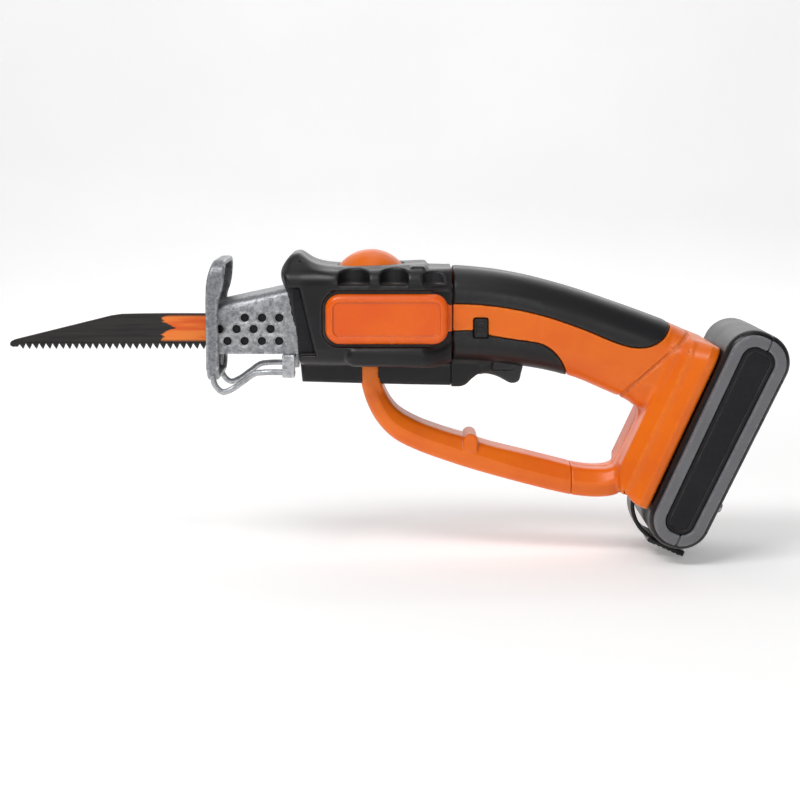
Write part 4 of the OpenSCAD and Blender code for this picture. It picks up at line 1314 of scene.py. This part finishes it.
@dataclass
class Shoe:
    """The fixed shoe: bent face plate, perforated channel, branch wires and their clamp."""

    wide: float = 50.0
    sheet: float = 2.2
    chan_half: float = 20.0
    chan_wall: float = 1.5
    hole_r: float = 2.0
    wire_r: float = 1.4
    wire_y: float = 21.6

    def __post_init__(self) -> None:
        """Measures the plate's bend."""
        self.bend = Outline([(0.5, -22.4, 1), (0.0, -17), (0.0, -6), (0.0, 18), (0.5, 25),
                             (2.0, 31), (4.4, 37.4, 1), (9.6, 37.0, 1), (9.2, 30), (8.2, 22),
                             (6.4, 16), (5.8, 10), (5.8, -20.4), (5.2, -22.4, 1)], step=0.3, pad=6)

    def plate(self, x: Array, y: Array, z: Array) -> Array:
        """The face plate: a turned-back edge, round corners and the blade's slot."""
        face = rounded_rect(y, z - 6.3, self.wide / 2, 28.9, 8.0)
        dish = np.maximum(self.bend(x - self.sheet, z), face + self.sheet)
        form = round_inter(round_inter(self.bend(x, z), face, 1.4), -dish, 0.5)
        return round_inter(form, -rounded_rect(y, z + 0.5, 2.5, 11.5, 2.4), 0.4)

    def channel(self, x: Array, y: Array, z: Array) -> Array:
        """The channel behind the plate: sloping top, open bottom, three staggered rows of holes."""
        a = np.abs(y)
        top = (z - 14.0 - (x - 2.2) * 0.2153) / 1.023
        top = np.where(x > 45.5, np.maximum(top, z - 6), top)

        def body(inset: float, r: float) -> Array:
            """The section's form, drawn in by inset."""
            return np.maximum(round_inter(top + inset, a - self.chan_half + inset, r),
                              -9.6 + inset - z)

        form = round_inter(round_inter(body(0, 5.0), slab(x, 2.3, 56.6), 0.4),
                           -body(self.chan_wall, 3.5), 0.3)
        form = round_inter(form, -np.maximum(a - 14, np.minimum(slab(z, -14, -6), 45.0 - x)), 0.5)
        rows = ((7.7, (18.2, 26.4, 34.6)), (2.3, (6.1, 14.2, 22.3, 30.4)),
                (-3.4, (9.8, 18, 26.2, 34.4)))
        holes = np.minimum.reduce([disc(x, z, hx, hz, self.hole_r) for hz,
                                   places in rows for hx in places])
        lip = round_inter(np.minimum.reduce([disc(x, z, hx, hz, self.hole_r + 0.75) for hz,
                                             places in rows for hx in places]), 19.75 - a, 0.2)
        return round_inter(cut(form, lip), -(holes + 0 * y), 0.25)

    def shade_sleeve(self, x: Array, y: Array, z: Array) -> Array:
        """A thin dark sleeve inside the channel: painted shade that makes the holes read dark."""
        def body(inset: float) -> Array:
            """The section's form, drawn in by inset."""
            top = (z - 14.0 - (x - 2.2) * 0.2153) / 1.023 + 2.0 + inset
            return np.maximum(round_inter(np.maximum(top, z - 21.6),
                                          np.abs(y) - self.chan_half + 1.7 + inset, 3.0), -9.2 - z)

        return round_inter(np.maximum(body(0), slab(x, 6.2, 45.0)), -np.maximum(body(0.9), -z - 12),
                           0.2)

    def clamp(self, x: Array, y: Array, z: Array) -> Array:
        """The strap that holds both wires under the channel."""
        a = np.abs(y)
        strap = round_inter(rounded_rect(x - 39, z + 10.9, 3.0, 1.2, 0.5), a - self.wire_y - 2.6,
                            0.5)
        ear = round_inter(rounded_rect(x - 39, z + 16.2, 3.0, 4.4, 0.7),
                          np.abs(a - self.wire_y) - 2.6, 0.6)
        form = round_union(strap, ear, 0.4)
        return cut(form, np.maximum(disc(a, z, self.wire_y, -18.2, self.wire_r + 0.1), x - 41))

    def build(self, shop: Shop) -> None:
        """Makes and hangs the pieces."""
        plate = carve("face_plate", self.plate, (-1, -26, -24), (13.5, 26, 39), 0.5)
        shop.fit(plate, "body", Finish.ZINC, "zinc_sheet", "shoe_plate")
        channel = carve("perforated_channel", self.channel, (1, -21, -11), (58, 21, 24), 0.45)
        shop.fit(channel, "body", Finish.ZINC, "zinc_sheet", "shoe_channel")
        # A dark sleeve in the channel: painted shade seen through the holes.
        shade_sleeve = carve("channel_liner", self.shade_sleeve, (5, -20, -11), (47, 20, 22), 0.6)
        shop.fit(shade_sleeve, "body", Finish.DARK, "black_shell")
        path = [(2.9, -12), (2.9, -19), (3.9, -24.3), (7.6, -27.6), (12.0, -26.2), (17.5, -22.4),
                (22.6, -18.9), (27, -18.2), (40.9, -18.2)]
        points, faces = tube(path, self.wire_r)
        both = [points + (0, s * self.wire_y, 0) for s in (NEAR, FAR)]
        wires = mesh_object("branch_hooks", np.concatenate(both),
                            np.concatenate([faces, faces + len(points)]))
        clean(wires)
        shop.fit(wires, "body", Finish.WIRE, "steel", "branch_wires")
        clamp = carve("wire_clamp", self.clamp, (35, -25, -22), (43, 25, -9), 0.45)
        shop.fit(clamp, "body", Finish.WIRE, "steel", "wire_bracket")


@dataclass
class Blade:
    """The tapered pruning blade, its teeth set to either side, and the quick-change clamp."""

    reach: float = 97.7
    thick: float = 1.3
    teeth: int = 28
    root_z: float = -6.6
    tip_z: float = -9.1
    body_side: tuple[tuple[float, float], ...] = ((44, -4.6), (44, 5.6), (6, 5.6), (2, 6.6),
                                                  (-2.6, 8.2), (-20, 8.25), (-34, 8.1), (-43, 7.9),
                                                  (-47.9, 7.2), (-56, 5.2), (-75, 0.5), (-92, -3.7),
                                                  (-95.4, -4.6), (-96.9, -5.4), (-97.6, -6.5),
                                                  (-97.4, -7.6), (-96, -8.2), (-94, -7.9),
                                                  (-92.5, -6.6))

    def plate(self) -> bpy.types.Object:
        """The blade's body: a flat plate with ground edges and the pin hole."""
        rim = [Vector((x * MM, 0, z * MM)) for x, z in self.body_side]
        rim += [Vector((x * MM, 0, self.root_z * MM))
                for x in (-60, -30, -2, 2)] + [Vector((6 * MM, 0, -4.6 * MM))]
        hole = [Vector(((40 + 1.85 * math.cos(t)) * MM, 0, (0.5 + 1.85 * math.sin(t)) * MM))
                for t in np.linspace(0, 2 * math.pi, 24, endpoint=False)]
        centre = sum(rim, Vector()) / len(rim)
        work, bevel = bmesh.new(), 0.25
        loops = []
        for y, inset in ((-self.thick / 2, bevel), (-self.thick / 2 + bevel, 0),
                         (self.thick / 2 - bevel, 0),
                         (self.thick / 2, bevel)):
            ring = []
            for k, p in enumerate(rim):
                way = (rim[(k + 1) % len(rim)] - rim[k - 1]).normalized()
                inward = Vector((-way.z, 0, way.x))
                inward = inward if inward.dot(centre - p) > 0 else -inward
                ring.append(work.verts.new(p + inward * inset * MM + Vector((0, y * MM, 0))))
            loops.append((ring, [work.verts.new(p + Vector((0, y * MM, 0))) for p in hole]))
        for (low, low_hole), (top, top_hole) in zip(loops, loops[1:]):
            for a, b in ((low, top), (low_hole, top_hole)):
                for k in range(len(a)):
                    work.faces.new((a[k], a[(k + 1) % len(a)], b[(k + 1) % len(b)], b[k]))
        for ring, round_hole in (loops[0], loops[-1]):
            edges = [work.edges.get((r[k], r[(k + 1) % len(r)])) for r in (ring, round_hole)
                     for k in range(len(r))]
            bmesh.ops.triangle_fill(work, edges=edges, use_beauty=True)
        bmesh.ops.recalc_face_normals(work, faces=work.faces)
        return hand_over(work, "saw_blade")

    def tooth_row(self, shop: Shop) -> bpy.types.Object:
        """One left-set and one right-set tooth, copied along the edge by the row tree."""
        pitch = (self.reach - 6.5) / self.teeth
        work, half_thick = bmesh.new(), self.thick / 2
        for k, lean in ((0, -0.22), (1, 0.22)):
            x0 = -2.0 - k * pitch
            side = [(x0, self.root_z + 0.5), (x0 - 0.05 * pitch, self.root_z),
                    (x0 - 0.36 * pitch, self.tip_z), (x0 - 0.46 * pitch, self.tip_z),
                    (x0 - 0.95 * pitch, self.root_z), (x0 - pitch, self.root_z + 0.5)]
            faces = []
            for y in (-half_thick, half_thick):
                ring = []
                for x, z in side:
                    low = (self.root_z - z) / (self.root_z - self.tip_z) if z < self.root_z else 0
                    thin = 1 - 0.45 * low if (y < 0) == (lean > 0) else 1.0
                    ring.append(work.verts.new((x * MM, (y * thin + lean * low) * MM, z * MM)))
                faces.append(ring)
            for i in range(len(side)):
                j = (i + 1) % len(side)
                work.faces.new((faces[0][i], faces[0][j], faces[1][j], faces[1][i]))
            work.faces.new(faces[0])
            work.faces.new(faces[1][::-1])
        bmesh.ops.recalc_face_normals(work, faces=work.faces)
        return grow(hand_over(work, "blade_teeth"), shop.row, Count=self.teeth // 2,
                    Step=(-2 * pitch * MM, 0.0, 0.0), Finish=shop.paint[Finish.BLADE])

    def build(self, shop: Shop) -> None:
        """Makes and hangs the pieces."""
        shop.fit(self.plate(), "plunger", Finish.BLADE, "black_steel", "blade")
        shop.fit(self.tooth_row(shop), "plunger", Finish.BLADE, "black_steel")
        shop.dress(Finish.STEEL, "steel", "blade_collar", "plunger_rod")
        shop.dress(Finish.BRONZE, "bronze", "clamp_pin")


@dataclass
class Controls:
    """The trigger and the lock-off button."""

    trigger_half: float = 8.25

    def __post_init__(self) -> None:
        """Measures the trigger's side view."""
        self.side = Outline([(127.6, -20.4), (128.2, -16.4), (129.8, -13.6), (132.6, -13.0),
                             (147.4, -13.0, 1), (147.8, -9.3, 1), (159.9, -9.3, 1),
                             (159.9, -11.1, 1), (151.9, -11.1, 1), (151.6, -15.4), (150.6, -19.6),
                             (149.2, -24.1), (145.6, -25.0), (142.2, -23.4), (138.6, -21.6),
                             (133.4, -20.4), (129.6, -20.8)], step=0.3, pad=6)

    def trigger(self, x: Array, y: Array, z: Array) -> Array:
        """The trigger, with a hollowed finger face and a broken edge."""
        a = np.abs(y)
        form = round_inter(self.side(x, z), a - self.trigger_half, 1.0)
        form = cut(form, disc(x, z, PIN_X, PIN_Z, PIN_BORE))
        ears = both(151.9 - x, slab(z, -16, -8), 4.05 - a)
        form = cut(form, ears)
        return sink(form, np.maximum(rounded_rect(x - 139.5, z + 16.8, 7.6, 1.9, 1.4), 4 - a), 0.45)

    def lock(self, x: Array, y: Array, z: Array) -> Array:
        """The lock button's cap and the flange that keeps it in."""
        cap = round_inter(rounded_rect(x - LOCK_X, z - 3.0, 3.2, 4.4, 0.9), slab(y, -22.8, -18.6),
                          0.6)
        groove = np.minimum.reduce([np.maximum(np.abs(z - zz) - 0.4, y + 22.3)
                                    for zz in (0.6, 2.2, 3.8, 5.4)])
        cap = round_inter(cap, -np.maximum(groove, np.abs(x - LOCK_X) - 2.2), 0.2)
        flange = round_inter(rounded_rect(x - LOCK_X, z - 2.85, 4.5, 6.2, 0.6),
                             slab(y, -18.85, -18.1), 0.2)
        return np.minimum(cap, flange)

    def build(self, shop: Shop) -> None:
        """Makes and hangs the pieces."""
        trigger = carve("finger_trigger", self.trigger, (127, -9, -26), (161, 9, -8), 0.45)
        shop.fit(trigger, "trigger", Finish.TRIGGER, "grey_plastic", "trigger")
        lock = carve("lock_off_button", self.lock, (125, -23.5, -4), (136, -17.5, 10), 0.3)
        shop.fit(lock, "lock_button", Finish.INNER, "black_shell", "lock_button")
        shop.dress(Finish.CARRIER, "grey_plastic", "switch_plunger")
        shop.dress(Finish.INNER, "black_shell", "trigger_switch")
        shop.dress(Finish.STEEL, "steel", "trigger_pin", "release_arm", "release_spring")


@dataclass
class Pack:
    """The slide-on battery pack, its grey side rings, sunk dark panels, latch and insides."""

    fixings: Fixings
    w0: float = 226.2
    thick: float = 31.6
    u0: float = -2.5
    long: float = 111.5
    half_wide: float = 35.5
    ring: float = 2.5
    border: float = 2.3
    band: float = 5.4
    draw: float = 2.2
    wall: float = 2.2
    part_w: float = 243.6
    cell_r: float = 9.1
    back_w: float = 252.0
    lines_u: tuple[float, float] = (88.5, 17.5)
    screw_u: tuple[float, float] = (24, 84)
    screw_in: float = 8.0

    def __post_init__(self) -> None:
        """Measures the latch's strap, which follows the case's lower corner."""
        self.strap = Outline([(220.9, 13.2), (221.0, 10.0), (222.3, 5.4), (226.0, 0.4),
                              (231.0, -3.2), (238.0, -5.2)], closed=False, step=0.4, pad=6)

    def loop(self, x: Array, z: Array, inset: float, shift: float = 0.0) -> Array:
        """The pack's side view, drawn in by inset."""
        w, u = tilt_w(x, z), tilt_u(x, z)
        drawn = self.draw * np.clip((95 - u) / 95, 0, 1)
        return rounded_rect(w - self.w0 - (self.thick - drawn) / 2 - shift,
                            u - self.u0 - self.long / 2, (self.thick - drawn) / 2 - inset,
                            self.long / 2 - inset, 14.0 - inset)

    def shell(self, x: Array, y: Array, z: Array) -> Array:
        """Both halves of the case as one hollow form."""
        a, w, u = np.abs(y), tilt_w(x, z), tilt_u(x, z)
        body = round_inter(self.loop(x, z, 0.0), a - self.half_wide, 4.0)
        body = sink(body, round_inter(rounded_rect(y + 0 * u, u - 53, 29, 34, 6), self.back_w - w,
                                      0.4), 0.8)
        for line_u in self.lines_u:
            body = sink(body, both(np.abs(u - line_u) - 0.7, self.back_w - w, a - 24), 1.5)
        return cut(body, np.maximum(self.loop(x, z, self.wall), a - self.half_wide + self.wall))

    def cover(self, x: Array, y: Array, z: Array) -> Array:
        """The half against the handle, with the rails and the contact slots."""
        a, w, u = np.abs(y), tilt_w(x, z), tilt_u(x, z)
        front = round_inter(self.shell(x, y, z), w - self.part_w + 0.12, 0.4)
        front = cut(front, both(slab(w, 224, 231), a - 14, slab(u, 30, 60)))
        head = round_inter(round_inter(slab(w, 213.3, 222.2), a - 24.9, 0.8), slab(u, 12.0, 79.2),
                           0.8)
        neck = round_inter(np.maximum(slab(w, 222.0, 228.0), a - 19.0), slab(u, 12.0, 79.2), 0.8)
        body = np.minimum(np.minimum(front, head), neck)
        body = cut(body, both(slab(w, 212, 225.8), a - 9.1, slab(u, 11, 20.1)))
        body = cut(body, both(slab(w, 212, 215.7), a - 9.1, slab(u, 11, 80)))
        slots = np.minimum.reduce([np.abs(y - s) - 1.2 for s in (-8, 0, 8)])
        body = cut(body, both(slots, slab(w, 212, 220), slab(u, 65.6, 80.5)))
        hollow = both(slab(w, 220, 229), a - 14, slab(u, 30, 60))
        return cut(body, hollow)

    def base(self, x: Array, y: Array, z: Array) -> Array:
        """The outer half, with four screw recesses."""
        w, u = tilt_w(x, z), tilt_u(x, z)
        body = round_inter(self.shell(x, y, z), self.part_w + 0.12 - w, 0.4)
        sites = [disc(y, u, s * (self.half_wide - self.screw_in), t, 2.6)
                 for s in (NEAR, FAR) for t in self.screw_u]
        return cut(body, np.maximum(np.minimum.reduce(sites), self.w0 + self.thick - 1.3 - w))

    def side_ring(self, x: Array, y: Array, z: Array) -> Array:
        """One grey side ring, parted like the case."""
        a, w = -y, tilt_w(x, z)
        band = round_inter(self.loop(x, z, self.border, -0.3),
                           -self.loop(x, z, self.border + self.band, -0.3), 0.8)
        form = round_inter(band, a - self.half_wide - self.ring, 1.1)
        form = sink(form, np.abs(w - self.part_w) - 0.4 + 0 * y, 0.9)
        return np.maximum(form, self.half_wide - 1.2 - a)

    def side_panel(self, x: Array, y: Array, z: Array) -> Array:
        """One dark panel inside its ring, with a shallow border line."""
        a = -y
        form = round_inter(self.loop(x, z, self.border + self.band + 0.15, -0.3),
                           a - self.half_wide - 1.4, 0.5)
        border = np.abs(self.loop(x, z, self.border + self.band + 2.2, -0.3)) - 0.3
        return np.maximum(sink(form, border + 0 * y, 0.4), self.half_wide - 1.2 - a)

    def carriers(self, x: Array, y: Array, z: Array) -> Array:
        """The two plates that hold the five cells, notched for the board."""
        a, w, u = np.abs(y), tilt_w(x, z), tilt_u(x, z)
        form = round_inter(self.loop(x, z, self.wall + 1.3), slab(a, 22, 26), 0.4)
        centres = [self.u0 + self.long / 2 + k * (2 * self.cell_r + 0.7) for k in range(-2, 3)]
        form = cut(form, np.minimum.reduce([disc(w, u, self.part_w + 0.6, c, self.cell_r)
                                            for c in centres]))
        return cut(form, np.maximum(slab(w, 220, 233), slab(u, 19, 95)))

    def latch(self, x: Array, y: Array, z: Array) -> Array:
        """The sprung latch under the pack and its thumb tab."""
        a, w, u = np.abs(y), tilt_w(x, z), tilt_u(x, z)
        hook = round_inter(np.maximum(slab(w, 213.5, 221.3), slab(u, 11.6, 14.1)), a - 8, 0.4)
        strap = round_inter(self.strap(w, u) - 1.0, a - 8, 0.5)
        ribs = 0.35 * (np.abs(((w + 0.6) % 2.6) - 1.3) < 0.45) * (w > 238)
        tab = round_inter(round_inter(slab(w, 235.0, 254.2), slab(u, -6.9 + ribs, -3.8), 0.8),
                          a - 13.9, 1.6)
        return np.minimum.reduce([hook, strap, tab])

    def build(self, shop: Shop) -> None:
        """Makes and hangs the pieces."""
        lo, hi = (185, -39, -108), (280, 39, 4)
        shop.fit(carve("case_front", self.cover, lo, hi, 0.95), "battery", Finish.BLACK,
                 "black_shell", "pack_cover")
        shop.fit(carve("case_back", self.base, lo, hi, 0.95), "battery", Finish.BLACK,
                 "black_shell", "pack_base")
        for which, form, finish, slot, node in (
                ("ring", self.side_ring, Finish.GREY, "grey_plastic", "pack_rings"),
                ("panel", self.side_panel, Finish.DARK, "black_shell", "pack_panels")):
            for side, word in ((NEAR, "left"), (FAR, "right")):
                piece = carve(f"{word}_case_{which}", form, (185, -39, -108), (280, -33.8, 4), 0.6,
                              mirror=side == FAR)
                shop.fit(piece, "battery", finish, slot, node)
        shop.fit(carve("case_latch", self.latch, (195, -15, -112), (235, 15, -74), 0.55),
                 "pack_latch", Finish.BLACK, "black_shell", "pack_latch")
        seats = []
        for s in (NEAR, FAR):
            for u in self.screw_u:
                x, z = untilt(self.w0 + self.thick - 1.25, u)
                seats.append((x, s * (self.half_wide - self.screw_in), z))
        screws = self.fixings.place(shop, "case_screws", seats, (0, math.pi / 2 + TILT, 0), 2.35,
                                    1.15)
        shop.fit(screws, "battery", Finish.STEEL, "steel", "pack_screws")
        shop.dress(Finish.WRAP, "cell_wrap", "cells")
        carriers = carve("cell_carriers", self.carriers, (185, -27, -108), (280, 27, 4), 0.9)
        shop.fit(carriers, "battery", Finish.CARRIER, "grey_plastic", "cell_holders")
        shop.dress(Finish.MASK, "board", "pack_board")
        shop.dress(Finish.BRONZE, "bronze", "pack_contacts", "terminal_blades")
        shop.dress(Finish.INNER, "black_shell", "terminal_block")


@dataclass
class Drive:
    """The gear case, crank and motor inside the nose, kept as the frame has them."""

    finishes: tuple[tuple[Finish, str, tuple[str, ...]],
                    ...] = ((Finish.CASTING, "alloy", ("gear_case", "gear_cover")),
                            (Finish.STEEL, "steel",
                             ("gear_screws", "crank_gear", "gear_bearing", "pinion", "rotor_shaft",
                              "rotor_core", "motor_magnets")),
                              (Finish.BRONZE, "bronze",
                               ("front_bushing", "guide_rails", "crank_roller")),
                               (Finish.COPPER, "copper", ("commutator",)),
                               (Finish.ZINC, "zinc_sheet", ("motor_can",)),
                               (Finish.INNER, "black_shell", ("cooling_fan", "motor_endbell")))

    def build(self, shop: Shop) -> None:
        """Dresses the frame's own nodes."""
        for finish, slot, names in self.finishes:
            shop.dress(finish, slot, *names)


@dataclass
class Studio:
    """Pale floor and wall, soft lights and the camera."""

    look_at: tuple[float, float, float] = (0.09196, 0.0, -0.03429)
    distance: float = 0.95
    elevation: float = math.radians(7.5)
    lens: float = 87.602
    floor_z: float = -0.1095

    def ground(self, paint: Paint) -> None:
        """A floor that curves up into a wall."""
        profile = [(-14.0, 0.0), (1.2, 0.0)]
        profile += [(1.2 + 0.8 * math.sin(t), 0.8 - 0.8 * math.cos(t))
                    for t in np.linspace(0.1, math.pi / 2, 14)]
        profile += [(2.0, 4.0)]
        work = bmesh.new()
        rows = [[work.verts.new((x, y, z + self.floor_z)) for y, z in profile]
                for x in (-14.0, 14.0)]
        for k in range(len(profile) - 1):
            work.faces.new((rows[0][k], rows[1][k], rows[1][k + 1], rows[0][k + 1]))
        ground = hand_over(work, "studio_ground")
        for face in ground.data.polygons:
            face.use_smooth = True
        ground.data.materials.append(paint[Finish.FLOOR])

    def lamp(self, name: str, place: Point, aim: Point, size: tuple[float, float],
             power: float) -> None:
        """One soft rectangular lamp.

        Args:
            name: The lamp's name.
            place: Where it stands, in metres.
            aim: Where it points.
            size: Width and height of its face.
            power: Its strength in watts.
        """
        light = bpy.data.lights.new(name, "AREA")
        light.shape, light.size, light.size_y, light.energy = "RECTANGLE", size[0], size[1], power
        lamp = bpy.data.objects.new(name, light)
        lamp.location = place
        lamp.rotation_euler = (Vector(aim) - Vector(place)).to_track_quat("-Z", "Y").to_euler()
        bpy.context.scene.collection.objects.link(lamp)

    def build(self, paint: Paint) -> None:
        """Sets up the floor, lights, surroundings and camera."""
        self.ground(paint)
        middle = (0.09, 0.0, -0.02)
        self.lamp("key_lamp", (-0.35, -0.7, 0.95), middle, (0.8, 0.35), 8.6)
        self.lamp("top_lamp", (0.15, 0.0, 1.1), middle, (1.4, 0.4), 1.8)
        self.lamp("front_lamp", (0.3, -1.7, 0.5), middle, (1.0, 0.5), 3.2)
        self.lamp("back_lamp", (0.3, 1.2, 0.7), middle, (1.2, 0.8), 2.0)
        self.lamp("wall_lamp", (0.1, 0.9, 1.4), (0.1, 2.0, 0.3), (2.4, 0.6), 10.0)
        world = bpy.data.worlds.new("studio_air")
        bpy.context.scene.world = world
        world.use_nodes = True
        sky = world.node_tree.nodes["Background"]
        sky.inputs["Color"].default_value = (1.0, 1.0, 1.0, 1.0)
        ray = world.node_tree.nodes.new("ShaderNodeLightPath")
        seen = world.node_tree.nodes.new("ShaderNodeMapRange")
        seen.inputs["To Min"].default_value, seen.inputs["To Max"].default_value = 0.16, 0.8
        world.node_tree.links.new(ray.outputs["Is Camera Ray"], seen.inputs["Value"])
        world.node_tree.links.new(seen.outputs["Result"], sky.inputs["Strength"])
        camera = bpy.data.cameras.new("studio_camera")
        camera.lens, camera.sensor_width, camera.clip_start = self.lens, 36.0, 0.01
        stand = bpy.data.objects.new("studio_camera", camera)
        aim = Vector(self.look_at)
        stand.location = aim + self.distance * Vector((0, -math.cos(self.elevation),
                                                       math.sin(self.elevation)))
        stand.rotation_euler = (aim - stand.location).to_track_quat("-Z", "Y").to_euler()
        bpy.context.scene.collection.objects.link(stand)
        bpy.context.scene.camera = stand
        bpy.context.scene.view_settings.view_transform = "Standard"


def main() -> None:
    """Builds the saw's sub-assemblies in order."""
    logging.basicConfig(level=logging.INFO, format="%(name)s: %(message)s", stream=sys.stdout)
    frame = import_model()
    make_effects()
    shop = Shop(frame["nodes"])
    outer, fixings = Outer(), Fixings()
    Studio().build(shop.paint)
    for part in (Shoe(), Blade(), Nose(outer, fixings), Handle(outer, fixings), Guard(outer),
                 fixings, Controls(),
                 Pack(fixings), Drive()):
        part.build(shop)
        log.info("%s is done", type(part).__name__)
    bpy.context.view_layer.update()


if __name__ == "__main__":
    main()
